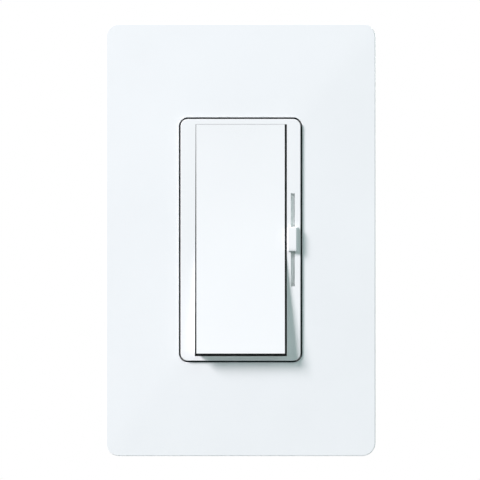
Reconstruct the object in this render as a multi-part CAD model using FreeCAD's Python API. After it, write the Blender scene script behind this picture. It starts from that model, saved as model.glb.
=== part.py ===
import FreeCAD, Part
import math
import os

from FreeCAD import Vector

# Fan speed control with a rocking on/off paddle, a small slide for the speed and a clip-on wall plate.
# Lengths are in millimetres, angles in degrees.
# X runs to the right of the front view, Z runs up and Y runs back into the wall.
# The origin is the middle of the control on the wall surface, where the back of the yoke lies.

# Wall plate: the clip-on cover that is seen round the control
plate_width = 74.6
plate_end_room = 7.15
plate_depth = 7.6
plate_wall = 2.2
plate_corner = 3.6
plate_lean = 0.5
plate_edge = 0.5
reveal = 0.4
catch_bite = 0.5
catch_length = 8.0
catch_toe = 1.1
rib_thick = 1.2
rib_length = 10.0
rib_inset_x = 6.0
rib_inset_z = 13.0
pry_width = 6.0
pry_depth = 1.2

# Adapter plate: the frame that is screwed to the yoke and holds the wall plate
adapter_thick = 2.0
adapter_play = 1.1
adapter_clear = 0.2
adapter_rim = 1.3
adapter_rim_rise = 0.9

# Bezel: the moulded front with the paddle's well and the slot of the slide
bezel_width = 32.8
bezel_end_room = 8.62
bezel_corner = 2.0
bezel_proud = 0.8
bezel_edge = 0.35
bezel_face = 1.2
bezel_wall = 0.8
bezel_floor = 1.2
bezel_end_wall = 1.1
side_strip = 3.95
leg_width = 6.0
leg_thick = 1.0
leg_spread = 8.0
leg_hook = 0.6

# Paddle: two flat faces that meet in a shallow valley over the pivot
paddle_turn = 4.6
paddle_pivot_depth = 3.6
paddle_side_gap = 0.3
paddle_end_gap = 0.2
end_strip = 1.36
paddle_skin = 1.5
paddle_skirt = 4.0
paddle_edge = 0.25
paddle_rib = 1.0
trunnion_radius = 1.1
lug_half_height = 3.0
lug_drop = 1.7
hub_radius = 3.1
hub_end = 6.0
hub_window = 11.0

# Plunger and spring in the paddle's hub
plunger_radius = 1.8
plunger_tip_radius = 1.2
plunger_nose = 0.8
plunger_shoulder = -1.0
plunger_taper = 3.4
spring_seat = -7.0
spring_wire = 0.5

# Slide for the speed
slot_width = 1.15
slot_length = 25.4
slot_inset = 2.1
slide_travel = 9.2
slide_end_gap = 0.3
tab_rest = 0.2
tab_rise = 2.3
tab_width = 2.75
tab_lean = 0.4
tab_draft = 0.1
tab_over = 0.1
tab_edge = 0.25
tab_socket = 2.4
stem_width = 0.85
blade_thick = 1.5
block_half_length = 7.0
block_depth = 4.8
neck_half_length = 3.0
foot_half_length = 4.5
foot_width = 4.4
foot_front = 0.7
foot_thick = 1.1
wiper_thick = 0.3
wiper_finger = 1.1

# Yoke: the aluminium strap that is screwed to the wall box
yoke_width = 44.5
yoke_end = 4.0
yoke_thick = 1.3
yoke_corner = 4.0
box_screw_pitch = 83.34
plate_screw_step = 6.73
box_slot_width = 8.0
box_slot_height = 4.3
box_slot_corner = 2.1
ear_cut_width = 1.2
ear_cut_length = 7.0
ear_cut_x = 9.5

# Ground tab, bent back from the yoke
ground_tab_inset = 12.75
ground_tab_width = 9.0
ground_tab_length = 9.5
ground_tab_space = 1.8
ground_tab_bend = 1.2
ground_screw_depth = 5.4
ground_head_radius = 3.8
ground_head_thick = 2.0
ground_shank_radius = 1.75

# Screws
machine_radius = 1.75
box_screw_length = 22.0
box_head_radius = 3.6
box_neck_radius = 1.45
box_head_rise = 2.1
box_head_crown = 2.7
box_head_edge = 1.05
adapter_screw_length = 8.0
adapter_head_radius = 3.4
adapter_head_depth = 1.6
housing_shank_radius = 1.45
housing_head_radius = 2.5
housing_head_rise = 1.6
drive_slot = 0.8
drive_depth = 0.9
retainer_width = 10.0
retainer_height = 7.2
retainer_thick = 0.5

# Back cover: the dark box behind the yoke
cover_width = 43.5
cover_end_room = 6.67
cover_depth = 30.5
cover_wall = 1.8
cover_corner = 3.0
cover_edge = 1.2
pillar_half = 3.9
pillar_inset_x = 4.1
pillar_inset_z = 4.2
ledge_thick = 2.0
ledge_reach = 1.3
ledge_z = 23.5

# Terminals at the two sides of the back cover
pocket_depth = 7.75
pocket_front = 8.5
pocket_back = 26.0
pocket_half_height = 5.5
pocket_wall = 1.4
terminal_thick = 1.0
terminal_leg_half = 1.5
terminal_foot = 4.0
terminal_screw_y = 14.5
terminal_screw_radius = 1.95
terminal_head_radius = 4.0
terminal_head_thick = 2.0
clamp_thick = 1.2
clamp_front = 9.5
clamp_back = 19.6
wire_space = 2.4
wire_hole_radius = 1.25
wire_hole_z = 3.2

# Circuit board and what is soldered to it
board_front = 3.6
board_thick = 1.6
board_gap = 0.3
board_window = 10.0
sheet_thick = 0.25
contact_thick = 0.25
contact_width = 1.0
lead_size = 0.7
capacitor_side_gap = 0.25
capacitor_end_gap = 3.6
capacitor_strip_gap = 2.0
low_capacitor_depth = 20.0
medium_capacitor_depth = 17.0
capacitor_lead_inset = 2.25
capacitor_edge = 1.0
resistor_radius = 1.6
resistor_length = 8.0
resistor_pitch = 12.0
resistor_inset = 2.35
resistor_z = 15.5

# Switch: a see-saw arm on a fulcrum, which the plunger tips
fulcrum_depth = 15.0
fulcrum_radius = 0.8
arm_ratio = 2.0
arm_width = 6.0
arm_thick = 0.9
arm_low = 10.0
arm_high = 9.0
plunger_gap = 0.15
post_x = 4.1
post_thick = 1.0
post_half_height = 2.5
post_rise = 1.3
strap_y = 23.5
strap_half_height = 4.0
button_radius = 1.8
button_thick = 0.8
button_inset = 2.0
closed_gap = 0.08
contact_strip_y = 18.2
contact_strip_thick = 0.8
contact_strip_width = 5.0
contact_strip_low = 12.8
contact_foot = 2.0
stop_gap = 0.3
stop_half_width = 2.0
stop_height = 2.0

# Clearances
slide_gap = 0.15
turn_gap = 0.06
screw_gap = 0.05
seat_gap = 0.05
hole_gap = 0.15
part_gap = 0.3
through = 1.0
same = 1e-4

# Levels and places that follow from the sizes
box_screw_z = box_screw_pitch / 2
plate_screw_z = box_screw_z + plate_screw_step
yoke_height = 2 * (plate_screw_z + yoke_end)
plate_height = yoke_height + 2 * plate_end_room
cover_height = box_screw_pitch - 2 * cover_end_room
bezel_height = box_screw_pitch - 2 * bezel_end_room
yoke_front = -yoke_thick
adapter_front = yoke_front - adapter_thick
plate_front = -plate_depth
plate_inside = plate_front + plate_wall
bezel_front = plate_front - bezel_proud
bezel_inside = bezel_front + bezel_face
floor_front = yoke_front - bezel_floor
opening_width = bezel_width + 2 * reveal
opening_height = bezel_height + 2 * reveal
opening_corner = bezel_corner + reveal
inner_width = plate_width - 2 * plate_wall
inner_height = plate_height - 2 * plate_wall
adapter_width = inner_width - 2 * adapter_play
adapter_height = inner_height - 2 * adapter_play

well_width = bezel_width - 2 * side_strip
well_height = bezel_height - 2 * end_strip
channel_inner = well_width / 2 + bezel_wall
channel_outer = bezel_width / 2 - bezel_wall
channel_half_length = bezel_height / 2 - bezel_end_wall

half_turn = math.radians(paddle_turn / 2)
pivot_y = bezel_front + paddle_pivot_depth
valley_y = pivot_y - paddle_pivot_depth / math.cos(half_turn)
paddle_width = well_width - 2 * paddle_side_gap
paddle_half = well_height / 2 - paddle_end_gap - paddle_pivot_depth * math.tan(half_turn)

slot_x = bezel_width / 2 - slot_inset
stem_half_length = slot_length / 2 - slide_travel - slide_end_gap
blade_front = bezel_inside + slide_gap
blade_half_length = slot_length / 2 + slide_travel + slide_end_gap
blade_inner = channel_inner + slide_gap
blade_outer = channel_outer - slide_gap
blade_x = (blade_inner + blade_outer) / 2
neck_sweep = slide_travel + neck_half_length + part_gap
foot_back = foot_front + foot_thick

cover_inner_x = cover_width / 2 - cover_wall
cover_inner_z = cover_height / 2 - cover_wall
cover_floor = cover_depth - cover_wall
pillar_x = cover_width / 2 - pillar_inset_x
pillar_z = cover_height / 2 - pillar_inset_z
pillar_places = [(side * pillar_x, end * pillar_z) for side in (-1, 1) for end in (-1, 1)]
capacitor_width = 2 * (pillar_x - pillar_half - capacitor_side_gap)
capacitor_lead_x = capacitor_width / 2 - capacitor_lead_inset
capacitor_low = contact_strip_low + contact_strip_thick + capacitor_strip_gap
capacitor_high = cover_inner_z - capacitor_end_gap
capacitor_z = (capacitor_low + capacitor_high) / 2
resistor_x = cover_inner_x - resistor_inset
ground_tab_x = cover_width / 2 - ground_tab_inset

pocket_x = cover_width / 2 - pocket_depth
clamp_x = pocket_x + terminal_thick + wire_space
screw_head_x = clamp_x + clamp_thick
wire_x = pocket_x + terminal_thick + wire_space / 2

board_back = board_front + board_thick
leg_z = bezel_height / 2 - leg_thick - board_gap / 2
strap_back = strap_y + terminal_thick
plunger_tip_y = fulcrum_depth - arm_thick / 2 - plunger_gap
button_z = button_inset - arm_low
ends = (-1, 1)
tab_top = -cover_height / 2 - ground_tab_space
tab_low = tab_top - yoke_thick


def box(x0, x1, y0, y1, z0, z1):
    """A block between two corners."""
    return Part.makeBox(x1 - x0, y1 - y0, z1 - z0, Vector(x0, y0, z0))


def rod_x(radius, x0, x1, y, z):
    return Part.makeCylinder(radius, x1 - x0, Vector(x0, y, z), Vector(1, 0, 0))


def rod_y(radius, y0, y1, x=0.0, z=0.0):
    return Part.makeCylinder(radius, y1 - y0, Vector(x, y0, z), Vector(0, 1, 0))


def rod_z(radius, z0, z1, x, y):
    return Part.makeCylinder(radius, z1 - z0, Vector(x, y, z0), Vector(0, 0, 1))


def rounded_outline(width, height, radius, y, x=0.0, z=0.0):
    """A closed outline of four lines and four quarter arcs, parallel to the wall."""
    half_w = width / 2
    half_h = height / 2
    short = radius * (1 - math.sqrt(0.5))
    edges = []
    for turn in range(4):
        wide, tall = (half_w, half_h) if turn % 2 == 0 else (half_h, half_w)
        corner = [
            (wide, radius - tall),
            (wide, tall - radius),
            (wide - short, tall - short),
            (wide - radius, tall),
        ]
        a = math.radians(90 * turn)
        points = [
            Vector(x + u * math.cos(a) - v * math.sin(a), y, z + u * math.sin(a) + v * math.cos(a))
            for u, v in corner
        ]
        edges.append(Part.LineSegment(points[0], points[1]).toShape())
        edges.append(Part.Arc(points[1], points[2], points[3]).toShape())
    return Part.Wire(edges)


def slab(width, height, y0, y1, radius, x=0.0, z=0.0):
    """A plate with round corners, parallel to the wall."""
    face = Part.Face(rounded_outline(width, height, radius, y0, x, z))
    return face.extrude(Vector(0, y1 - y0, 0))


def turned(profile, x=0.0, z=0.0):
    """A solid of revolution about a line along Y, from (radius, y) points."""
    points = [Vector(x + radius, y, z) for radius, y in profile]
    face = Part.Face(Part.makePolygon(points + points[:1]))
    return face.revolve(Vector(x, 0, z), Vector(0, 1, 0), 360)


def prism_x(profile, x0, x1):
    """A prism along X from (y, z) points."""
    points = [Vector(x0, y, z) for y, z in profile]
    return Part.Face(Part.makePolygon(points + points[:1])).extrude(Vector(x1 - x0, 0, 0))


def edges_at(shape, y):
    """The edges of a shape that lie wholly at one depth."""
    return [e for e in shape.Edges if all(abs(v.Y - y) < same for v in e.Vertexes)]


def about_x(shape, degrees, y, z=0.0):
    """A copy of a shape, turned about a line along X."""
    copy = shape.copy()
    copy.rotate(Vector(0, y, z), Vector(1, 0, 0), degrees)
    return copy


def about_y(shape, degrees):
    """A copy of a shape, turned about the line along Y through the origin."""
    copy = shape.copy()
    copy.rotate(Vector(0, 0, 0), Vector(0, 1, 0), degrees)
    return copy


def mirrored(shape):
    """A copy of a shape on the other side of the middle plane."""
    return shape.mirror(Vector(0, 0, 0), Vector(1, 0, 0))


def catch(distance, along):
    """A ramp on the inside of the plate's right wall, which snaps behind the adapter's edge."""
    tip = distance - adapter_play - catch_bite
    root = distance + plate_wall / 2
    toe = yoke_front + catch_toe
    points = [
        Vector(root, yoke_front, 0),
        Vector(tip, yoke_front, 0),
        Vector(tip, yoke_front + catch_bite / 2, 0),
        Vector(distance, toe, 0),
        Vector(root, toe, 0),
    ]
    ramp = Part.Face(Part.makePolygon(points + points[:1])).extrude(Vector(0, 0, catch_length))
    ramp.translate(Vector(0, 0, along - catch_length / 2))
    return ramp


def wallplate():
    """A thin shell with a soft front edge, the opening for the bezel, catches and standing ribs."""
    half_w = plate_width / 2
    half_h = plate_height / 2
    outer = Part.makeWedge(
        plate_lean - half_w,
        plate_front,
        plate_lean - half_h,
        -half_h,
        -half_w,
        half_w - plate_lean,
        0,
        half_h - plate_lean,
        half_h,
        half_w,
    )
    corners = [e for e in outer.Edges if abs(e.Vertexes[0].Y - e.Vertexes[1].Y) > plate_depth / 2]
    outer = outer.makeFillet(plate_corner, corners)
    outer = outer.makeFillet(plate_edge, edges_at(outer, plate_front))
    hollow = box(
        -inner_width / 2, inner_width / 2, plate_inside, through, -inner_height / 2, inner_height / 2
    )
    opening = slab(opening_width, opening_height, plate_front - through, 0, opening_corner)
    shell = outer.cut(hollow).cut(opening)
    extras = []
    catch_z = inner_height / 4
    for turn in (0, 180):
        for along in (-catch_z, catch_z):
            extras.append(about_y(catch(inner_width / 2, along), turn))
        extras.append(about_y(catch(inner_height / 2, 0), turn + 90))
    rib_x = adapter_width / 2 - rib_inset_x
    rib_z = adapter_height / 2 - rib_inset_z
    for side in ends:
        for end in ends:
            x = side * rib_x
            z = end * rib_z
            extras.append(
                box(
                    x - rib_thick / 2,
                    x + rib_thick / 2,
                    plate_inside - plate_wall / 2,
                    adapter_front,
                    z - rib_length / 2,
                    z + rib_length / 2,
                )
            )
    shell = shell.fuse(extras)
    low = -plate_height / 2
    pry = box(-pry_width / 2, pry_width / 2, -pry_depth, through, low - through, low + 2 * plate_wall)
    return shell.cut(pry)


def driver_slot(y, radius, x, z):
    """The straight slot in a screw's head, from the given depth back."""
    half = drive_slot / 2
    return box(x - radius, x + radius, y, y + drive_depth, z - half, z + half)


def adapter_plate():
    """A flat frame with a low rim round its opening, countersinks and room for the box screws' heads."""
    hole_width = bezel_width + 2 * adapter_clear
    hole_height = bezel_height + 2 * adapter_clear
    plate = box(
        -adapter_width / 2,
        adapter_width / 2,
        adapter_front,
        yoke_front,
        -adapter_height / 2,
        adapter_height / 2,
    )
    rim_front = adapter_front - adapter_rim_rise
    rim = box(
        -hole_width / 2 - adapter_rim,
        hole_width / 2 + adapter_rim,
        rim_front,
        yoke_front,
        -hole_height / 2 - adapter_rim,
        hole_height / 2 + adapter_rim,
    )
    hole = box(
        -hole_width / 2,
        hole_width / 2,
        rim_front - through,
        yoke_front + through,
        -hole_height / 2,
        hole_height / 2,
    )
    plate = plate.fuse(rim).cut(hole)
    head_room = 2 * (box_head_radius + part_gap)
    for end in ends:
        z = end * plate_screw_z
        sink = turned(
            [
                (0, adapter_front - through),
                (adapter_head_radius + hole_gap, adapter_front - through),
                (adapter_head_radius + hole_gap, adapter_front),
                (machine_radius + hole_gap, adapter_front + adapter_head_depth),
                (machine_radius + hole_gap, yoke_front + through),
                (0, yoke_front + through),
            ],
            z=z,
        )
        room_half = (head_room + box_slot_width - box_slot_height) / 2
        room = box(
            -room_half,
            room_half,
            adapter_front - through,
            yoke_front + through,
            end * box_screw_z - head_room / 2,
            end * box_screw_z + head_room / 2,
        )
        plate = plate.cut(sink).cut(room)
    return plate


def adapter_screws():
    """Two flat-head machine screws that hold the adapter to the yoke."""
    screws = []
    for end in ends:
        z = end * plate_screw_z
        tip = adapter_front + adapter_screw_length
        screw = turned(
            [
                (0, adapter_front),
                (adapter_head_radius, adapter_front),
                (machine_radius, adapter_front + adapter_head_depth),
                (machine_radius, tip),
                (0, tip),
            ],
            z=z,
        )
        screws.append(screw)
    return Part.makeCompound(screws)


def bezel_leg(side, end):
    """A snap leg that passes through the yoke and hooks behind it."""
    x0 = side * leg_spread - leg_width / 2
    x1 = side * leg_spread + leg_width / 2
    hook_end = 2 * leg_hook + part_gap
    hook = prism_x([(seat_gap, leg_z), (seat_gap, leg_z - leg_hook), (hook_end, leg_z)], x0, x1)
    leg = box(x0, x1, floor_front, hook_end, leg_z, leg_z + leg_thick).fuse(hook)
    if end < 0:
        leg = leg.mirror(Vector(0, 0, 0), Vector(0, 0, 1))
    return leg


def bezel():
    """The front moulding: the paddle's well, a channel behind each side strip, the slot and the legs."""
    body = slab(bezel_width, bezel_height, bezel_front, yoke_front, bezel_corner)
    body = body.makeChamfer(bezel_edge, edges_at(body, bezel_front))
    half_w = well_width / 2
    half_h = well_height / 2
    cuts = [
        box(-half_w, half_w, bezel_front - through, floor_front, -half_h, half_h),
        box(
            -hub_window / 2,
            hub_window / 2,
            floor_front - through,
            yoke_front + through,
            -hub_window / 2,
            hub_window / 2,
        ),
        box(
            slot_x - slot_width / 2,
            slot_x + slot_width / 2,
            bezel_front - through,
            bezel_inside + through,
            -slot_length / 2,
            slot_length / 2,
        ),
        rod_x(trunnion_radius + turn_gap, -channel_inner - slide_gap, channel_inner + slide_gap, pivot_y, 0),
    ]
    for side in ends:
        channel = box(
            channel_inner,
            channel_outer,
            bezel_inside,
            yoke_front + through,
            -channel_half_length,
            channel_half_length,
        )
        cuts.append(channel if side > 0 else mirrored(channel))
    body = body.cut(cuts)
    cross_z = channel_half_length / 3
    webs = [
        box(
            -channel_outer - bezel_wall / 2,
            -channel_inner + bezel_wall / 2,
            bezel_inside - bezel_face / 2,
            yoke_front,
            z - bezel_wall / 2,
            z + bezel_wall / 2,
        )
        for z in (-2 * cross_z, -cross_z, cross_z, 2 * cross_z)
    ]
    legs = [bezel_leg(side, end) for side in ends for end in ends]
    return body.fuse(webs + legs)


def paddle_outline(back):
    """The paddle's side view down to a given depth behind its face: a shallow valley over the pivot."""
    drop = paddle_half * math.sin(half_turn)
    reach = paddle_half * math.cos(half_turn)
    return [
        (valley_y, 0),
        (valley_y - drop, reach),
        (valley_y - drop + back, reach),
        (valley_y + back, 0),
        (valley_y - drop + back, -reach),
        (valley_y - drop, -reach),
    ]


def paddle():
    """A thin-walled rocker with skirts, cross ribs, two trunnions and a hub for the plunger."""
    half_w = paddle_width / 2
    solid = prism_x(paddle_outline(paddle_skirt), -half_w, half_w)
    front_edges = [
        e
        for e in solid.Edges
        if all(v.Y < valley_y + same for v in e.Vertexes) and abs(e.CenterOfMass.z) > same
    ]
    solid = solid.makeChamfer(paddle_edge, front_edges)
    inner_w = half_w - paddle_skin
    inside = prism_x(paddle_outline(paddle_skirt + through), -inner_w, inner_w)
    inside.translate(Vector(0, paddle_skin, 0))
    end_wall = box(
        -half_w, half_w, valley_y - paddle_skirt, valley_y + 2 * paddle_skirt, 0, paddle_half
    )
    end_wall.translate(Vector(0, 0, paddle_half - paddle_skin))
    other_end = end_wall.mirror(Vector(0, 0, 0), Vector(0, 0, 1))
    inside = inside.cut([end_wall, other_end])
    shell = solid.cut(inside)
    extras = []
    rib_back = valley_y + paddle_skin + paddle_rib
    for z in (-2 * paddle_half / 3, -paddle_half / 3, paddle_half / 3, 2 * paddle_half / 3):
        rise = abs(z) * math.tan(half_turn)
        extras.append(
            box(
                -inner_w - paddle_skin / 2,
                inner_w + paddle_skin / 2,
                valley_y + paddle_skin / 2 - rise,
                rib_back - rise + paddle_rib,
                z - paddle_rib / 2,
                z + paddle_rib / 2,
            )
        )
    for side in ends:
        lug = box(
            inner_w,
            half_w,
            valley_y + paddle_skin / 2,
            pivot_y + lug_drop,
            -lug_half_height,
            lug_half_height,
        )
        pin_end = channel_inner - slide_gap
        lug = lug.fuse(rod_x(trunnion_radius, inner_w, pin_end, pivot_y, 0))
        extras.append(lug if side > 0 else mirrored(lug))
    extras.append(rod_y(hub_radius, valley_y + paddle_skin / 2, hub_end))
    shell = shell.fuse(extras)
    bore = rod_y(plunger_radius + screw_gap, spring_seat, hub_end + through)
    return about_x(shell.cut(bore).removeSplitter(), -paddle_turn / 2, pivot_y)


def plunger():
    """A turned pin with a round nose that stands in the hub and pushes on the see-saw arm."""
    nose = plunger_tip_y - plunger_nose
    profile = [
        (0, plunger_shoulder),
        (plunger_radius, plunger_shoulder),
        (plunger_radius, nose - plunger_taper),
        (plunger_tip_radius, nose),
        (0, plunger_tip_y),
    ]
    return about_x(turned(profile), -paddle_turn / 2, pivot_y)


def plunger_spring():
    """The compression spring between the hub's seat and the plunger, as a sleeve of its outer form."""
    outer = rod_y(plunger_radius - seat_gap, spring_seat, plunger_shoulder)
    inner = rod_y(plunger_radius - seat_gap - spring_wire, spring_seat - through, plunger_shoulder + through)
    return about_x(outer.cut(inner), -paddle_turn / 2, pivot_y)


def slider_tab():
    """The finger tab that stands in front of the slot, with its blade through the slot."""
    base_y = bezel_front - tab_over
    front_y = base_y - tab_rise
    half = stem_half_length + tab_over
    left = slot_x - tab_width / 2
    right = slot_x + tab_width / 2 + tab_draft
    base = [(left, -half), (right, -half), (right, half), (left, half)]
    top = [
        (left + tab_draft, tab_draft - half),
        (right - tab_lean, tab_draft - half),
        (right - tab_lean, half - tab_draft),
        (left + tab_draft, half - tab_draft),
    ]
    wires = []
    for outline, y in ((base, base_y), (top, front_y)):
        points = [Vector(x, y, z) for x, z in outline]
        wires.append(Part.makePolygon(points + points[:1]))
    tab = Part.makeLoft(wires, True, True)
    tab = tab.makeChamfer(tab_edge, edges_at(tab, front_y))
    stem = box(
        slot_x - stem_width / 2,
        slot_x + stem_width / 2,
        base_y,
        blade_front + tab_socket,
        -stem_half_length,
        stem_half_length,
    )
    whole = tab.fuse(stem)
    whole.translate(Vector(0, 0, tab_rest))
    return whole


def slider_carriage():
    """The runner behind the strip: a long blade that closes the slot, a guided block and a foot."""
    blade = box(
        blade_inner,
        blade_outer,
        blade_front,
        blade_front + blade_thick,
        -blade_half_length,
        blade_half_length,
    )
    block = box(
        blade_inner,
        blade_outer,
        blade_front,
        blade_front + block_depth,
        -block_half_length,
        block_half_length,
    )
    neck = box(
        blade_inner, blade_outer, blade_front, foot_front, -neck_half_length, neck_half_length
    )
    foot = box(
        blade_x - foot_width / 2,
        blade_x + foot_width / 2,
        foot_front,
        foot_back,
        -foot_half_length,
        foot_half_length,
    )
    socket = box(
        slot_x - stem_width / 2 - seat_gap,
        slot_x + stem_width / 2 + seat_gap,
        blade_front - through,
        blade_front + tab_socket + seat_gap,
        -stem_half_length - seat_gap,
        stem_half_length + seat_gap,
    )
    whole = blade.fuse([block, neck, foot]).cut(socket).removeSplitter()
    whole.translate(Vector(0, 0, tab_rest))
    return whole


def wiper_contact():
    """A sprung strip on the foot with two fingers that bear on the board's contact strips."""
    base = box(
        blade_x - foot_width / 2 + seat_gap,
        blade_x + foot_width / 2 - seat_gap,
        foot_back,
        foot_back + wiper_thick,
        -foot_half_length + seat_gap,
        foot_half_length - wiper_finger,
    )
    touch = board_front - contact_thick - closed_gap
    fingers = []
    for side in ends:
        x = blade_x + side * (foot_width / 2 - wiper_finger)
        profile = [
            (foot_back, foot_half_length - wiper_finger - wiper_thick),
            (foot_back, foot_half_length - wiper_finger),
            (touch - wiper_thick, foot_half_length),
            (touch - wiper_thick, foot_half_length + wiper_finger),
            (touch, foot_half_length + wiper_finger),
            (touch, foot_half_length - wiper_thick),
            (foot_back + wiper_thick, foot_half_length - wiper_finger - wiper_thick),
        ]
        fingers.append(prism_x(profile, x - wiper_finger / 2, x + wiper_finger / 2))
    whole = base.fuse(fingers)
    whole.translate(Vector(0, 0, tab_rest))
    return whole


def centred_box(width, height, x, z):
    """A cutter that goes through the yoke, centred on a point."""
    half_w = width / 2
    half_h = height / 2
    return box(x - half_w, x + half_w, yoke_front - through, through, z - half_h, z + half_h)


def yoke():
    """The stamped strap: slots and ears at its ends, windows for what passes through it, a bent tab."""
    strap = slab(yoke_width, yoke_height, yoke_front, 0, yoke_corner)
    cuts = [
        box(
            -hub_window / 2,
            hub_window / 2,
            yoke_front - through,
            through,
            -hub_window / 2,
            hub_window / 2,
        ),
        box(
            channel_inner,
            channel_outer,
            yoke_front - through,
            through,
            -neck_sweep,
            neck_sweep,
        ),
    ]
    for end in ends:
        z = end * plate_screw_z
        cuts.append(rod_y(machine_radius + screw_gap, yoke_front - through, through, 0, z))
        cuts.append(
            slab(
                box_slot_width,
                box_slot_height,
                yoke_front - through,
                through,
                box_slot_corner,
                z=end * box_screw_z,
            )
        )
        for side in ends:
            cuts.append(
                centred_box(
                    ear_cut_width,
                    ear_cut_length,
                    side * ear_cut_x,
                    end * (yoke_height / 2 - ear_cut_length / 2),
                )
            )
            cuts.append(
                centred_box(
                    leg_width + 2 * hole_gap,
                    leg_thick + leg_hook + 2 * hole_gap,
                    side * leg_spread,
                    end * (leg_z + (leg_thick - leg_hook) / 2),
                )
            )
    for x, z in pillar_places:
        cuts.append(rod_y(housing_shank_radius + screw_gap, yoke_front - through, through, x, z))
    lance = box(
        ground_tab_x,
        ground_tab_x + ground_tab_width,
        yoke_front - through,
        through,
        tab_top - ground_tab_length,
        tab_low,
    )
    tab = box(
        ground_tab_x,
        ground_tab_x + ground_tab_width,
        yoke_front,
        ground_tab_length,
        tab_low,
        tab_top,
    )
    bend = [
        e
        for e in tab.Edges
        if all(abs(v.Y - yoke_front) < same and abs(v.Z - tab_low) < same for v in e.Vertexes)
    ]
    tab = tab.makeFillet(ground_tab_bend, bend)
    screw_x = ground_tab_x + ground_tab_width / 2
    hole = rod_z(
        ground_shank_radius + screw_gap,
        tab_low - through,
        tab_top + through,
        screw_x,
        ground_screw_depth,
    )
    strap = strap.cut(cuts + [lance])
    return strap.fuse(tab).cut(hole)


def mounting_screws():
    """The two screws that hold the control in its wall box, kept captive by a thin neck."""
    screws = []
    for end in ends:
        z = end * box_screw_z
        top = yoke_front - box_head_rise
        tip = yoke_front + box_screw_length
        screw = turned(
            [
                (0, top),
                (box_head_crown, top),
                (box_head_radius, yoke_front - box_head_edge),
                (box_head_radius, yoke_front),
                (box_neck_radius, yoke_front),
                (box_neck_radius, retainer_thick),
                (machine_radius, retainer_thick),
                (machine_radius, tip),
                (0, tip),
            ],
            z=z,
        )
        screws.append(screw.cut(driver_slot(top, box_head_radius, 0, z)))
    return Part.makeCompound(screws)


def screw_retainers():
    """Two fibre squares behind the yoke that hold the mounting screws by their necks."""
    squares = []
    for end in ends:
        z = end * box_screw_z
        square = box(
            -retainer_width / 2,
            retainer_width / 2,
            0,
            retainer_thick,
            z - retainer_height / 2,
            z + retainer_height / 2,
        )
        squares.append(square.cut(rod_y(box_neck_radius + screw_gap, -through, through, 0, z)))
    return Part.makeCompound(squares)


def ground_screw():
    """A green hexagon-head screw in the ground tab."""
    x = ground_tab_x + ground_tab_width / 2
    y = ground_screw_depth
    corners = []
    for i in range(6):
        a = math.radians(60 * i)
        corners.append(
            Vector(x + ground_head_radius * math.cos(a), y + ground_head_radius * math.sin(a), tab_low)
        )
    head = Part.Face(Part.makePolygon(corners + corners[:1])).extrude(Vector(0, 0, -ground_head_thick))
    low = tab_low - ground_head_thick
    slot = box(
        x - ground_head_radius,
        x + ground_head_radius,
        y - drive_slot / 2,
        y + drive_slot / 2,
        low,
        low + drive_depth,
    )
    shank = rod_z(ground_shank_radius, tab_low, tab_top + ground_tab_space - part_gap, x, y)
    return head.cut(slot).fuse(shank)


def terminal_pocket():
    """The room at the right side of the cover for a terminal's screw and wires."""
    return box(
        pocket_x,
        cover_width / 2 + through,
        pocket_front,
        pocket_back,
        -pocket_half_height,
        pocket_half_height,
    )


def pillar_block(x, z, y0, y1, gap):
    """The square pillar in a corner of the cover, or with a gap the notch that clears it."""
    reach = pillar_half + gap
    x0, x1 = sorted((x - math.copysign(reach, x), math.copysign(cover_width / 2 + gap, x)))
    z0, z1 = sorted((z - math.copysign(reach, z), math.copysign(cover_height / 2 + gap, z)))
    return box(x0, x1, y0, y1, z0, z1)


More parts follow.
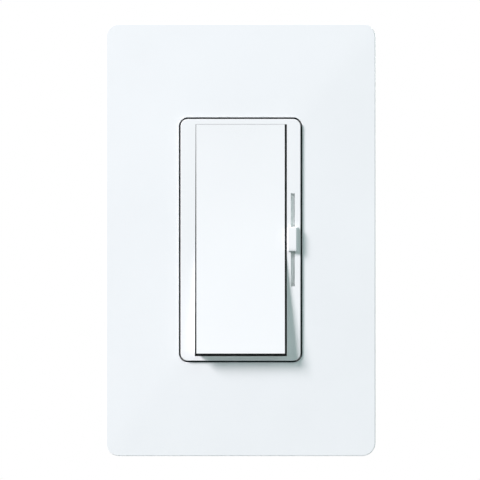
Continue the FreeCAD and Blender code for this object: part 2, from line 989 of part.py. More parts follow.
def back_cover():
    """A moulded box with corner pillars, a terminal pocket at each side, wire holes, ledges and rests."""
    outer = slab(cover_width, cover_height, 0, cover_depth, cover_corner)
    outer = outer.makeChamfer(cover_edge, edges_at(outer, cover_depth))
    hollow = box(-cover_inner_x, cover_inner_x, -through, cover_floor, -cover_inner_z, cover_inner_z)
    shell = outer.cut(hollow)
    adds = []
    cuts = []
    for x, z in pillar_places:
        adds.append(pillar_block(x, z, 0, cover_depth, 0))
        cuts.append(rod_y(housing_shank_radius + hole_gap, -through, cover_depth + through, x, z))
    wall_x = pocket_x - pocket_wall
    half = pocket_half_height + pocket_wall
    for side in ends:
        block = box(wall_x, cover_width / 2, pocket_front - pocket_wall, cover_depth, -half, half)
        pocket = terminal_pocket()
        parts = [block, pocket]
        for z in (-wire_hole_z, wire_hole_z):
            parts.append(rod_y(wire_hole_radius, pocket_back - through, cover_depth + through, wire_x, z))
        for z in (-ledge_z, ledge_z):
            parts.append(
                box(
                    cover_inner_x - ledge_reach,
                    cover_inner_x + cover_wall / 2,
                    board_back,
                    cover_floor + cover_wall / 2,
                    z - ledge_thick / 2,
                    z + ledge_thick / 2,
                )
            )
        if side < 0:
            parts = [mirrored(p) for p in parts]
        adds.append(parts[0])
        adds.extend(parts[4:])
        cuts.extend(parts[1:4])
    rest_x = post_x + post_thick
    adds.append(
        box(-rest_x, rest_x, strap_back, cover_floor + cover_wall / 2, -strap_half_height, strap_half_height)
    )
    strip_back = contact_strip_y + contact_strip_thick
    adds.append(
        box(
            -contact_strip_width / 2,
            contact_strip_width / 2,
            strip_back,
            cover_floor + cover_wall / 2,
            -contact_strip_low,
            button_z + button_radius,
        )
    )
    swing = math.radians(arm_ratio * paddle_turn / 2)
    stop_y = fulcrum_depth + arm_thick / 2 / math.cos(swing) + arm_high * math.tan(swing) + stop_gap
    adds.append(
        box(
            -stop_half_width,
            stop_half_width,
            stop_y,
            cover_floor + cover_wall / 2,
            arm_high - stop_height,
            arm_high,
        )
    )
    cuts.append(
        box(
            -pocket_x - through,
            through - wall_x,
            strap_y - hole_gap,
            strap_back,
            -strap_half_height - hole_gap,
            strap_half_height + hole_gap,
        )
    )
    cuts.append(
        box(
            pocket_x - seat_gap,
            pocket_x + terminal_thick + hole_gap,
            pocket_front - pocket_wall - through,
            pocket_front + through,
            -terminal_leg_half - hole_gap,
            terminal_leg_half + hole_gap,
        )
    )
    adds = [a.common(outer) for a in adds]
    return shell.fuse(adds).cut(cuts).removeSplitter()


def housing_screws():
    """Four long screws that clamp the back cover to the yoke."""
    screws = []
    for x, z in pillar_places:
        top = cover_depth + housing_head_rise
        screw = turned(
            [
                (0, yoke_front),
                (housing_shank_radius, yoke_front),
                (housing_shank_radius, cover_depth),
                (housing_head_radius, cover_depth),
                (housing_head_radius, top),
                (0, top),
            ],
            x=x,
            z=z,
        )
        screws.append(screw)
    return Part.makeCompound(screws)


def inner_sheet(y0, y1, gap):
    """A sheet that fits the cover's hollow between its pillars."""
    width = 2 * (cover_inner_x - gap)
    height = 2 * (cover_inner_z - gap)
    sheet = box(-width / 2, width / 2, y0, y1, -height / 2, height / 2)
    notches = [pillar_block(x, z, y0 - through, y1 + through, gap) for x, z in pillar_places]
    return sheet.cut(notches)


def insulator_sheet():
    """Fish paper behind the yoke, cut out for the hub, the slide's neck and the bezel's legs."""
    sheet = inner_sheet(0, sheet_thick, board_gap)
    cuts = [
        box(-hub_window / 2, hub_window / 2, -through, through, -hub_window / 2, hub_window / 2),
        box(channel_inner, channel_outer, -through, through, -neck_sweep, neck_sweep),
    ]
    for side in ends:
        x = side * leg_spread
        for end in ends:
            z0, z1 = sorted((end * (leg_z - leg_hook - part_gap), end * (cover_inner_z + through)))
            cuts.append(
                box(x - leg_width / 2 - part_gap, x + leg_width / 2 + part_gap, -through, through, z0, z1)
            )
    return sheet.cut(cuts)


def lead(x, z, y0, y1, gap=0.0):
    """A square lead through the board, or with a gap its hole."""
    half = lead_size / 2 + gap
    return box(x - half, x + half, y0, y1, z - half, z + half)


def capacitor_leads(end):
    return [(side * capacitor_lead_x, end * capacitor_z) for side in ends]


def resistor_leads(side):
    return [(side * resistor_x, resistor_z + end * resistor_pitch / 2) for end in ends]


def circuit_board():
    """The board behind the insulator, with a window for the hub and holes for the leads."""
    board = inner_sheet(board_front, board_back, board_gap)
    half = board_window / 2
    cuts = [box(-half, half, board_front - through, board_back + through, -half, half)]
    holes = capacitor_leads(-1) + capacitor_leads(1) + resistor_leads(-1) + resistor_leads(1)
    for x, z in holes:
        cuts.append(lead(x, z, board_front - through, board_back + through, seat_gap))
    return board.cut(cuts)


def speed_contacts():
    """Three short contacts and one long rail on the board, under the wiper's fingers."""
    y0 = board_front - contact_thick
    touch_z = foot_half_length + wiper_finger / 2
    rail_half = slide_travel + 2 * wiper_finger
    inner = blade_x - foot_width / 2 + wiper_finger
    outer = blade_x + foot_width / 2 - wiper_finger
    half = contact_width / 2
    strips = [box(outer - half, outer + half, y0, board_front, touch_z - rail_half, touch_z + rail_half)]
    pad_half = slide_travel / 3
    for step in (-1, 0, 1):
        z = touch_z + step * slide_travel
        strips.append(box(inner - half, inner + half, y0, board_front, z - pad_half, z + pad_half))
    return Part.makeCompound(strips)


def capacitor(end, depth):
    """A boxed film capacitor with two leads through the board."""
    low, high = sorted((end * capacitor_low, end * capacitor_high))
    body = box(
        -capacitor_width / 2,
        capacitor_width / 2,
        board_back + part_gap,
        board_back + part_gap + depth,
        low,
        high,
    )
    back = [e for e in body.Edges if all(v.Y > board_back + depth / 2 for v in e.Vertexes)]
    body = body.makeChamfer(capacitor_edge, back)
    leads = [
        lead(x, z, board_front - part_gap, board_back + capacitor_edge) for x, z in capacitor_leads(end)
    ]
    feet = [
        box(
            side * capacitor_width / 3 - capacitor_edge,
            side * capacitor_width / 3 + capacitor_edge,
            board_back,
            board_back + part_gap,
            low + capacitor_edge,
            high - capacitor_edge,
        )
        for side in ends
    ]
    return body.fuse(leads + feet)


def bleed_resistors():
    """Two resistors that lie on the board, one at each side."""
    items = []
    y = board_back + resistor_radius
    for side in ends:
        x = side * resistor_x
        low = resistor_z - resistor_length / 2
        high = resistor_z + resistor_length / 2
        body = rod_z(resistor_radius, low, high, x, y)
        leads = []
        for end, (lead_x, lead_z) in zip(ends, resistor_leads(side)):
            near = low if end < 0 else high
            half = lead_size / 2
            z0, z1 = sorted((near, lead_z + end * half))
            leads.append(box(x - half, x + half, y - half, y + half, z0, z1))
            leads.append(lead(lead_x, lead_z, board_front - part_gap, y + half))
        items.append(body.fuse(leads))
    return Part.makeCompound(items)


def terminal_plate(last_y):
    """The brass plate on the floor of the right pocket, with its screw hole."""
    plate = box(
        pocket_x,
        pocket_x + terminal_thick,
        pocket_front + seat_gap,
        last_y,
        -pocket_half_height + part_gap,
        pocket_half_height - part_gap,
    )
    hole = rod_x(
        terminal_screw_radius + screw_gap,
        pocket_x - through,
        pocket_x + terminal_thick + through,
        terminal_screw_y,
        0,
    )
    return plate.cut(hole)


def common_terminal():
    """The line terminal: screw plate, strap across the cover's rest and two posts as the fulcrum."""
    plate = mirrored(terminal_plate(strap_back))
    strap = box(
        -pocket_x - seat_gap,
        post_x + post_thick / 2,
        strap_y,
        strap_back,
        -strap_half_height,
        strap_half_height,
    )
    parts = [strap]
    notch = fulcrum_radius + turn_gap
    for side in ends:
        x0 = side * post_x - post_thick / 2
        x1 = side * post_x + post_thick / 2
        front = fulcrum_depth - post_rise
        profile = [
            (front, -post_half_height / 2 - notch / 2),
            (front, post_half_height / 2 + notch / 2),
            (strap_y, post_half_height),
            (strap_y, -post_half_height),
        ]
        post = prism_x(profile, x0, x1)
        groove = rod_x(notch, x0 - through, x1 + through, fulcrum_depth, 0)
        mouth = box(x0 - through, x1 + through, front - through, fulcrum_depth, -notch, notch)
        parts.append(post.cut(groove.fuse(mouth)))
    return plate.fuse(parts)


def load_terminal():
    """The load terminal: screw plate and a leg that goes forward to a foot on the board."""
    plate = terminal_plate(pocket_back - part_gap)
    half = terminal_leg_half
    leg = box(pocket_x, pocket_x + terminal_thick, board_back, pocket_front + through, -half, half)
    foot_end = pocket_x + terminal_foot
    foot = box(pocket_x, foot_end, board_back, board_back + terminal_thick, -half, half)
    return plate.fuse([leg, foot])


def terminal_screws():
    """Two brass binding screws, one in each pocket."""
    profile = [
        (0, pocket_x),
        (terminal_screw_radius, pocket_x),
        (terminal_screw_radius, screw_head_x),
        (terminal_head_radius, screw_head_x),
        (terminal_head_radius, screw_head_x + terminal_head_thick),
        (0, screw_head_x + terminal_head_thick),
    ]
    screw = turned(profile)
    end = screw_head_x + terminal_head_thick
    screw = screw.cut(driver_slot(end - drive_depth, terminal_head_radius, 0, 0))
    screw.rotate(Vector(0, 0, 0), Vector(0, 0, 1), -90)
    screw.translate(Vector(0, terminal_screw_y, 0))
    return Part.makeCompound([screw, mirrored(screw)])


def clamp_plates():
    """The two plates under the terminal screws' heads that press on the wires."""
    plate = box(
        clamp_x,
        screw_head_x,
        clamp_front,
        clamp_back,
        -pocket_half_height + part_gap,
        pocket_half_height - part_gap,
    )
    plate = plate.cut(
        rod_x(
            terminal_screw_radius + hole_gap,
            clamp_x - through,
            screw_head_x + through,
            terminal_screw_y,
            0,
        )
    )
    return Part.makeCompound([plate, mirrored(plate)])


def contact_arm():
    """The see-saw arm with its cross pin in the fulcrum posts, its lower end pressed back."""
    half = arm_width / 2
    plate = box(
        -half,
        half,
        fulcrum_depth - arm_thick / 2,
        fulcrum_depth + arm_thick / 2,
        -arm_low,
        arm_high,
    )
    pin_end = post_x + post_thick / 2 + part_gap
    pin = rod_x(fulcrum_radius, half - fulcrum_radius, pin_end, fulcrum_depth, 0)
    plate = plate.fuse([pin, mirrored(pin)])
    return about_x(plate, arm_ratio * paddle_turn / 2, fulcrum_depth)


def moving_contact():
    """The silver button welded to the arm's lower end."""
    face = fulcrum_depth + arm_thick / 2
    button = rod_y(button_radius, face, face + button_thick, 0, button_z)
    return about_x(button, arm_ratio * paddle_turn / 2, fulcrum_depth)


def closed_point():
    """Where the middle of the moving button's face stands while the switch is closed."""
    a = math.radians(arm_ratio * paddle_turn / 2)
    y = arm_thick / 2 + button_thick
    return (
        fulcrum_depth + y * math.cos(a) - button_z * math.sin(a),
        y * math.sin(a) + button_z * math.cos(a),
    )


def fixed_contact():
    """The silver button on the contact strip, just behind the moving one, whose face stands aslant."""
    touch_y, z = closed_point()
    lean = button_radius * math.sin(math.radians(arm_ratio * paddle_turn / 2))
    return rod_y(button_radius, touch_y + lean + closed_gap, contact_strip_y, 0, z)


def contact_strip():
    """The brass strip that carries the fixed contact and leads forward to the board."""
    back = contact_strip_y + contact_strip_thick
    half = contact_strip_width / 2
    low = -contact_strip_low
    _, z = closed_point()
    strip = box(-half, half, contact_strip_y, back, low, z + button_radius)
    leg_low = low - contact_strip_thick
    leg = box(-half, half, board_back, back, leg_low, low)
    foot = box(-half, half, board_back, board_back + contact_strip_thick, leg_low, low + contact_foot)
    return strip.fuse([leg, foot])


parts = {
    "wallplate": wallplate(),
    "adapter_plate": adapter_plate(),
    "adapter_screws": adapter_screws(),
    "bezel": bezel(),
    "paddle": paddle(),
    "plunger": plunger(),
    "plunger_spring": plunger_spring(),
    "slider_tab": slider_tab(),
    "slider_carriage": slider_carriage(),
    "wiper_contact": wiper_contact(),
    "yoke": yoke(),
    "mounting_screws": mounting_screws(),
    "screw_retainers": screw_retainers(),
    "ground_screw": ground_screw(),
    "back_cover": back_cover(),
    "housing_screws": housing_screws(),
    "insulator_sheet": insulator_sheet(),
    "circuit_board": circuit_board(),
    "speed_contacts": speed_contacts(),
    "low_speed_capacitor": capacitor(-1, low_capacitor_depth),
    "medium_speed_capacitor": capacitor(1, medium_capacitor_depth),
    "bleed_resistors": bleed_resistors(),
    "common_terminal": common_terminal(),
    "load_terminal": load_terminal(),
    "terminal_screws": terminal_screws(),
    "clamp_plates": clamp_plates(),
    "contact_arm": contact_arm(),
    "moving_contact": moving_contact(),
    "fixed_contact": fixed_contact(),
    "contact_strip": contact_strip(),
}

os.makedirs("parts", exist_ok=True)
for name, shape in parts.items():
    shape.exportStep("parts/" + name + ".step")
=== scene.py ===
import math

import bmesh
import bpy
from mathutils import Matrix, Vector


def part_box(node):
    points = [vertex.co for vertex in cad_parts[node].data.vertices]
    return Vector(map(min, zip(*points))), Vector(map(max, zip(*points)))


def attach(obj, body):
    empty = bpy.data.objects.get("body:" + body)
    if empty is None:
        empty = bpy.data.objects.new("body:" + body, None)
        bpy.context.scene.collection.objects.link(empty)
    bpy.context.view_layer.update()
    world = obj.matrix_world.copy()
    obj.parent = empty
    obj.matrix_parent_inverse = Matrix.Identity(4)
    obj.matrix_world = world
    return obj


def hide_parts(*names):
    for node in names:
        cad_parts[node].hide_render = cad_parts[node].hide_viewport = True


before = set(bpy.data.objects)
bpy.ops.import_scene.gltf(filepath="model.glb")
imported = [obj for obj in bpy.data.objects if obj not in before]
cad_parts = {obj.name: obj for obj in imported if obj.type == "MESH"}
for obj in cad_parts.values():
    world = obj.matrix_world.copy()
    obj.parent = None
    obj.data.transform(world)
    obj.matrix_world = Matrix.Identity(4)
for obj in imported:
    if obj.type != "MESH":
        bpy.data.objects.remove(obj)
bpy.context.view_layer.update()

mm = 0.001


# The camera stands straight in front of the control, three quarters of a metre from the wall plate, with a
# long lens whose picture is a little higher than the plate. Its small offsets centre the plate as it is
# seen in the photograph.
view_distance = 750 * mm
view_field = 131.3 * mm
view_across = -0.155 * mm
view_up = -0.04 * mm
sensor = 36
plate_low, plate_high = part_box("wallplate")
eye = bpy.data.cameras.new("camera")
eye.sensor_width = sensor
eye.lens = sensor * view_distance / view_field
camera = bpy.data.objects.new("camera", eye)
camera.location = (view_across, plate_low.y - view_distance, view_up)
camera.rotation_euler = (math.radians(90), 0, 0)
bpy.context.scene.collection.objects.link(camera)
bpy.context.scene.camera = camera


# The studio: a window lamp at the upper left, low over the wall plate's face, so that what stands proud
# throws a shadow to the lower right. A broad weak lamp at the upper right stands for the sky, and a third
# lights the back.
lamp_distance = 3.0

for name, aim, width, height, power, tint in (
    ("window_lamp", (-1.82, -1.0, 1.4), 0.7, 1.1, 152.0, (1.0, 0.92, 0.966)),
    ("sky_lamp", (1.0, -1.0, 1.5), 2.4, 2.4, 22.0, (0.78, 1.0, 0.985)),
    ("back_lamp", (0.7, 1.0, 0.5), 1.8, 1.8, 72.0, (1.0, 0.98, 0.97)),
):
    aim = Vector(aim).normalized()
    lamp_data = bpy.data.lights.new(name, "AREA")
    lamp_data.shape = "RECTANGLE"
    lamp_data.size = width
    lamp_data.size_y = height
    lamp_data.energy = power
    lamp_data.color = tint
    lamp = bpy.data.objects.new(name, lamp_data)
    lamp.location = aim * lamp_distance
    lamp.rotation_euler = aim.to_track_quat("Z", "Y").to_euler()
    bpy.context.scene.collection.objects.link(lamp)
bpy.context.scene.view_settings.view_transform = "Standard"


# The room: an even pale light from all sides that fills the shadows. It is white where the camera or a
# reflection looks into it, as the paper behind a product picture is.
class Shade:
    """A value that varies over a surface. Sums on it add Math nodes to its material."""

    def __init__(self, finish, socket):
        self.finish = finish
        self.socket = socket

    def sum(self, operation, first, second):
        return self.finish.node("ShaderNodeMath", {"operation": operation}, {0: first, 1: second})

    def __add__(self, other):
        return self.sum("ADD", self, other)

    __radd__ = __add__

    def __sub__(self, other):
        return self.sum("SUBTRACT", self, other)

    def __rsub__(self, other):
        return self.sum("SUBTRACT", other, self)

    def __mul__(self, other):
        return self.sum("MULTIPLY", self, other)

    __rmul__ = __mul__


class Finish:
    """The nodes of one material, or of the room's light."""

    def __init__(self, owner):
        self.owner = owner
        owner.use_nodes = True
        self.tree = owner.node_tree
        self.made = {}

    def node(self, kind, settings, sockets, output=0):
        """Adds a node, sets it up, fills its sockets with values or links, and returns one output."""
        made = self.tree.nodes.new(kind)
        for name, value in settings.items():
            setattr(made, name, value)
        self.fill(made, sockets)
        return Shade(self, made.outputs[output])

    def fill(self, node, sockets):
        for name, value in sockets.items():
            if isinstance(value, Shade):
                self.tree.links.new(value.socket, node.inputs[name])
            else:
                node.inputs[name].default_value = value

    def shader(self, sockets):
        self.fill(self.tree.nodes["Principled BSDF"], sockets)

    def place(self, stretch=(1, 1, 1)):
        """Where a point lies on the piece, with each direction stretched for a grain that runs one way."""
        if stretch not in self.made:
            here = self.node("ShaderNodeTexCoord", {}, {}, "Object")
            self.made[stretch] = self.node("ShaderNodeMapping", {}, {"Vector": here, "Scale": stretch})
        return self.made[stretch]

    def cloud(self, size, detail=2.0, stretch=(1, 1, 1)):
        """Soft random patches of about the given size, from 0 to 1."""
        return self.node(
            "ShaderNodeTexNoise", {}, {"Vector": self.place(stretch), "Scale": 1 / size, "Detail": detail}
        )

    def between(self, value, low, high):
        """Spreads the part of a value between two limits over 0 to 1."""
        return self.node("ShaderNodeMapRange", {}, {"Value": value, "From Min": low, "From Max": high})

    def mix(self, share, first, second):
        return self.node("ShaderNodeMix", {"data_type": "RGBA"}, {0: share, 6: first, 7: second}, 2)

    def bump(self, height, depth, strength=1.0):
        return self.node(
            "ShaderNodeBump", {}, {"Height": height, "Distance": depth, "Strength": strength}, "Normal"
        )


room_fill = 0.238
room_tint = (0.76, 1.0, 0.985, 1)
paper_white = (1, 1, 1, 1)

world = bpy.data.worlds.new("room")
bpy.context.scene.world = world
room = Finish(world)
looks = room.node("ShaderNodeLightPath", {}, {}, "Is Camera Ray")
looks = looks + room.node("ShaderNodeLightPath", {}, {}, "Is Glossy Ray")
looks = looks + room.node("ShaderNodeLightPath", {}, {}, "Is Transmission Ray")
seen = room.between(looks, 0.0, 1.0)
room.fill(
    room.tree.nodes["Background"],
    {
        "Color": room.mix(seen, room_tint, paper_white),
        "Strength": room_fill + seen * (1 - room_fill),
    },
)


# The floor: a round white table top, matt painted, well below the control. The control is held by the wall
# box, so it doesn't stand on it.
floor_drop = 230 * mm
floor_radius = 150 * mm
floor_facets = 96
floor_patch = 60 * mm

floor_shape = bmesh.new()
bmesh.ops.create_circle(floor_shape, cap_ends=True, segments=floor_facets, radius=floor_radius)
bmesh.ops.translate(floor_shape, vec=(0, 0, plate_low.z - floor_drop), verts=floor_shape.verts)
floor_mesh = bpy.data.meshes.new("table_top")
floor_shape.to_mesh(floor_mesh)
floor_shape.free()
floor = bpy.data.objects.new("table_top", floor_mesh)
bpy.context.scene.collection.objects.link(floor)
floor_paint = Finish(bpy.data.materials.new("table_white"))
floor_paint.shader(
    {
        "Base Color": floor_paint.mix(
            floor_paint.cloud(floor_patch), (0.72, 0.72, 0.72, 1), (0.75, 0.75, 0.75, 1)
        ),
        "Roughness": 0.9,
        "Specular IOR Level": 0.1,
    }
)
floor_mesh.materials.append(floor_paint.owner)


# The yoke: a strap stamped from 1.3 mm aluminium sheet, with a rolled grain along its length. The wall
# box's screws pass its slots, the bezel and the cover are fixed to it, and its tab takes the ground wire.
weld = 0.001 * mm


def dress(nodes, finish):
    """Gives CAD pieces a finish, in place of the plain colour that they come with."""
    for name in nodes:
        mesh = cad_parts[name].data
        mesh.materials.clear()
        mesh.materials.append(finish.owner)


def metal(name, dull, bright, roughness, grain, stretch=(1, 1, 1)):
    """Bare metal: a fine grain, darker where it has tarnished, with a roughness that follows."""
    tarnish_patch = 9 * mm
    grain_depth = 0.012 * mm
    finish = Finish(bpy.data.materials.new(name))
    lines = finish.cloud(grain, detail=3.0, stretch=stretch)
    patches = finish.cloud(tarnish_patch, detail=3.0)
    finish.shader(
        {
            "Base Color": finish.mix(finish.between(lines * 0.45 + patches * 0.55, 0.3, 0.7), dull, bright),
            "Metallic": 1.0,
            "Roughness": roughness - 0.08 + lines * 0.1 + patches * 0.1,
            "Normal": finish.bump(lines, grain_depth, strength=0.6),
        }
    )
    return finish


def new_piece(name, shape, finish=None, body=None, replaced=()):
    """Makes a mesh into a piece that moves with a body and stands for the nodes that it replaces. One with
    no finish is only a tool or a blank."""
    mesh = bpy.data.meshes.new(name)
    shape.to_mesh(mesh)
    shape.free()
    piece = bpy.data.objects.new(name, mesh)
    bpy.context.scene.collection.objects.link(piece)
    if finish:
        mesh.materials.append(finish.owner)
        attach(piece, body)
        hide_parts(*replaced)
    return piece


def soften(piece, width, angle=30, segments=3):
    """Rounds the sharp edges of a piece by a small radius and shades it smoothly."""
    for face in piece.data.polygons:
        face.use_smooth = True
    edge = piece.modifiers.new("edges", "BEVEL")
    edge.width = width
    edge.segments = segments
    edge.limit_method = "ANGLE"
    edge.angle_limit = math.radians(angle)
    edge.harden_normals = True
    edge.miter_outer = "MITER_ARC"
    piece.modifiers.new("shading", "WEIGHTED_NORMAL").keep_sharp = True


def split(shape, point, facing, **more):
    """Cuts all the faces of a shape where they cross a plane, and returns what lies on the plane."""
    everything = shape.verts[:] + shape.edges[:] + shape.faces[:]
    made = bmesh.ops.bisect_plane(shape, geom=everything, plane_co=point, plane_no=facing, **more)
    return made["geom_cut"]


def join_flats(shape):
    """Joins the parts of each flat face, but not over the middle planes, so that none closes round a hole."""
    flat_angle = math.radians(0.5)
    for across in ((1, 0, 0), (0, 0, 1)):
        for part in split(shape, (0, 0, 0), across, dist=weld):
            if isinstance(part, bmesh.types.BMEdge):
                part.seam = True
    bmesh.ops.dissolve_limit(
        shape,
        angle_limit=flat_angle,
        verts=shape.verts[:],
        edges=shape.edges[:],
        delimit={"SEAM"},
    )


def eased(name, node, finish, width, body="housing"):
    """A copy of a rigid CAD piece, with the triangles of its flat faces joined and its edges broken."""
    shape = bmesh.new()
    shape.from_mesh(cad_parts[node].data)
    bmesh.ops.remove_doubles(shape, verts=shape.verts, dist=weld)
    join_flats(shape)
    piece = new_piece(name, shape, finish, body, [node])
    soften(piece, width, angle=35, segments=2)
    return piece


aluminium = metal(
    "rolled_aluminium",
    (0.68, 0.69, 0.7, 1),
    (0.84, 0.85, 0.86, 1),
    roughness=0.36,
    grain=0.25 * mm,
    stretch=(1, 1, 0.04),
)
eased("yoke_strap", "yoke", aluminium, 0.12 * mm)


# The board and its parts: a tan board with two boxed film capacitors and two small resistors, whose leads
# go into it, and the sheet of grey fish paper that keeps them from the yoke. The back cover closes them in.
def plain(name, colour, other, roughness, patch, grain, depth):
    """A moulded or pressed material: a cloud in its colour, and a fine grain on its surface."""
    finish = Finish(bpy.data.materials.new(name))
    clouds = finish.cloud(patch, detail=3.0)
    pores = finish.cloud(grain, detail=2.0)
    finish.shader(
        {
            "Base Color": finish.mix(finish.between(clouds * 0.7 + pores * 0.3, 0.3, 0.7), colour, other),
            "Roughness": roughness - 0.05 + clouds * 0.1,
            "Normal": finish.bump(pores, depth, strength=0.5),
        }
    )
    return finish


dress(
    ["circuit_board"],
    plain(
        "board",
        (0.5, 0.38, 0.18, 1),
        (0.6, 0.47, 0.25, 1),
        roughness=0.5,
        patch=8 * mm,
        grain=0.3 * mm,
        depth=0.01 * mm,
    ),
)
dress(
    ["low_speed_capacitor", "medium_speed_capacitor"],
    plain(
        "capacitor_case",
        (0.82, 0.62, 0.08, 1),
        (0.88, 0.7, 0.14, 1),
        roughness=0.35,
        patch=9 * mm,
        grain=0.4 * mm,
        depth=0.01 * mm,
    ),
)
dress(
    ["bleed_resistors"],
    plain(
        "resistor_case",
        (0.66, 0.52, 0.34, 1),
        (0.74, 0.62, 0.44, 1),
        roughness=0.5,
        patch=2 * mm,
        grain=0.2 * mm,
        depth=0.01 * mm,
    ),
)
dress(
    ["insulator_sheet"],
    plain(
        "fish_paper",
        (0.2, 0.21, 0.23, 1),
        (0.28, 0.29, 0.31, 1),
        roughness=0.8,
        patch=5 * mm,
        grain=0.25 * mm,
        depth=0.02 * mm,
    ),
)


# The screw retainers: two squares punched from red fibre and pressed over the wall box's screws, behind the
# yoke, so that the screws can't fall out.
dress(
    ["screw_retainers"],
    plain(
        "red_fibre",
        (0.36, 0.09, 0.06, 1),
        (0.48, 0.16, 0.1, 1),
        roughness=0.7,
        patch=3 * mm,
        grain=0.2 * mm,
        depth=0.02 * mm,
    ),
)


# The switch, the speed contacts and the terminals: brass stampings, with silver contact buttons, that carry
# the current from one terminal to the other. A zinc-plated clamp at each terminal holds the wires.
brass = metal(
    "stamped_brass",
    (0.6, 0.42, 0.17, 1),
    (0.83, 0.65, 0.33, 1),
    roughness=0.32,
    grain=0.3 * mm,
)
silver = metal(
    "contact_silver",
    (0.62, 0.61, 0.58, 1),
    (0.85, 0.84, 0.8, 1),
    roughness=0.3,
    grain=0.3 * mm,
)
steel = metal(
    "zinc_plate",
    (0.52, 0.54, 0.56, 1),
    (0.74, 0.75, 0.75, 1),
    roughness=0.34,
    grain=0.25 * mm,
)
dress(["contact_arm", "contact_strip", "speed_contacts", "wiper_contact"], brass)
dress(["moving_contact", "fixed_contact"], silver)
eased("line_terminal_plate", "common_terminal", brass, 0.08 * mm)
eased("load_terminal_plate", "load_terminal", brass, 0.08 * mm)
eased("wire_clamps", "clamp_plates", steel, 0.12 * mm)


# The back cover: a box moulded in black thermoset, with a fine sparked texture that turns grey where it
# has rubbed in its carton. It carries the terminals in pockets at its sides, and four screws through its
# corners hold it to the yoke.
spark_grain = 0.22 * mm
spark_depth = 0.025 * mm
rubbed_patch = 14 * mm

black_moulding = Finish(bpy.data.materials.new("black_moulding"))
spark = black_moulding.cloud(spark_grain, detail=3.0)
rubbed = black_moulding.between(black_moulding.cloud(rubbed_patch, detail=5.0), 0.5, 0.72)
black_moulding.shader(
    {
        "Base Color": black_moulding.mix(rubbed, (0.016, 0.017, 0.019, 1), (0.034, 0.035, 0.038, 1)),
        "Roughness": 0.4 + rubbed * 0.14 + spark * 0.06,
        "Normal": black_moulding.bump(spark, spark_depth, strength=0.7),
    }
)
eased("cover_box", "back_cover", black_moulding, 0.25 * mm)


# The housing screws: four pan-head screws of zinc-plated steel, each with a cross recess, that go in
# through the corners of the cover from behind.
fine_weld = 0.0001 * mm


def block(shape, x0, x1, y0, y1, z0, z1):
    """Adds a block between two corners to a shape, and returns its corners."""
    middle = Vector((x0 + x1, y0 + y1, z0 + z1)) / 2
    size = (x1 - x0, y1 - y0, z1 - z0, 1)
    made = bmesh.ops.create_cube(shape, size=1, matrix=Matrix.Translation(middle) @ Matrix.Diagonal(size))
    return made["verts"]


def carve(piece, tool_shape, operation="DIFFERENCE"):
    """Cuts a shape out of a piece, or joins it to the piece."""
    tool = new_piece("tool", tool_shape)
    change = piece.modifiers.new("carve", "BOOLEAN")
    change.object = tool
    change.operation = operation
    change.solver = "EXACT"
    change.use_self = True
    graph = bpy.context.evaluated_depsgraph_get()
    carved = bpy.data.meshes.new_from_object(piece.evaluated_get(graph))
    piece.modifiers.remove(change)
    piece.data = carved
    bpy.data.objects.remove(tool)


def solid(shape):
    """Turns all the faces of a shape outward."""
    bmesh.ops.recalc_face_normals(shape, faces=shape.faces)
    return shape


def turned(shape, profile, steps=40):
    """Spins a profile of (radius, height) points about Z, and returns the new points."""
    corners = [shape.verts.new((radius, 0, height)) for radius, height in profile]
    edges = [shape.edges.new(pair) for pair in zip(corners, corners[1:])]
    before = set(shape.verts) - set(corners)
    bmesh.ops.spin(
        shape,
        geom=corners + edges,
        axis=(0, 0, 1),
        cent=(0, 0, 0),
        angle=math.radians(360),
        steps=steps,
        use_merge=True,
    )
    fresh = [v for v in shape.verts if v not in before]
    bmesh.ops.remove_doubles(shape, verts=fresh, dist=fine_weld)
    return [v for v in shape.verts if v not in before]


def thread(radius, start, end, pitch=0.79 * mm, steps=20):
    """Spins a screw thread about Z from one height to another and closes both its ends flat."""
    shape = bmesh.new()
    groove = 0.55 * pitch
    lead_in = 1.3 * pitch
    spare_turns = 3
    core = radius - groove
    low = start - lead_in
    turns = math.ceil((end - start) / pitch) + spare_turns
    rise, crest, fall = 0.38, 0.5, 0.88
    flank = [(core, 0), (radius, rise), (radius, crest), (core, fall), (core, 1)]
    corners = [shape.verts.new((r, 0, low + part * pitch)) for r, part in flank]
    edges = [shape.edges.new(pair) for pair in zip(corners, corners[1:])]
    bmesh.ops.spin(
        shape,
        geom=corners + edges,
        axis=(0, 0, 1),
        cent=(0, 0, 0),
        dvec=(0, 0, pitch / steps),
        angle=math.radians(360 * turns),
        steps=steps * turns,
    )
    bmesh.ops.remove_doubles(shape, verts=shape.verts, dist=weld)
    for height, way in ((start, -1), (end, 1)):
        split(shape, (0, 0, height), (0, 0, way), clear_outer=True)
    bmesh.ops.holes_fill(shape, edges=shape.edges[:], sides=0)
    return solid(shape)


def blank(profile):
    """A screw's body and head, turned from its outline, before its recess and thread."""
    shape = bmesh.new()
    turned(shape, profile)
    return new_piece("one_screw", solid(shape))


def copies(one, placings):
    """Sets one finished screw at several places, as one shape."""
    shape = bmesh.new()
    for placing in placings:
        before = set(shape.verts)
        shape.from_mesh(one.data)
        fresh = [v for v in shape.verts if v not in before]
        bmesh.ops.transform(shape, matrix=placing, verts=fresh)
    bpy.data.objects.remove(one)
    return shape


def cross_recess(head_top, reach, width, depth):
    """The tool for a cross recess: two tapered blades that meet on the screw's axis."""
    shape = bmesh.new()
    taper = (0.35, 0.7, 1)
    for turn in (0, 90):
        blade = block(shape, -reach, reach, -width / 2, width / 2, head_top - depth, head_top + depth)
        low = [v for v in blade if v.co.z < head_top]
        bmesh.ops.scale(shape, vec=taper, verts=low)
        bmesh.ops.rotate(shape, matrix=Matrix.Rotation(math.radians(turn), 3, "Z"), verts=blade)
    return shape


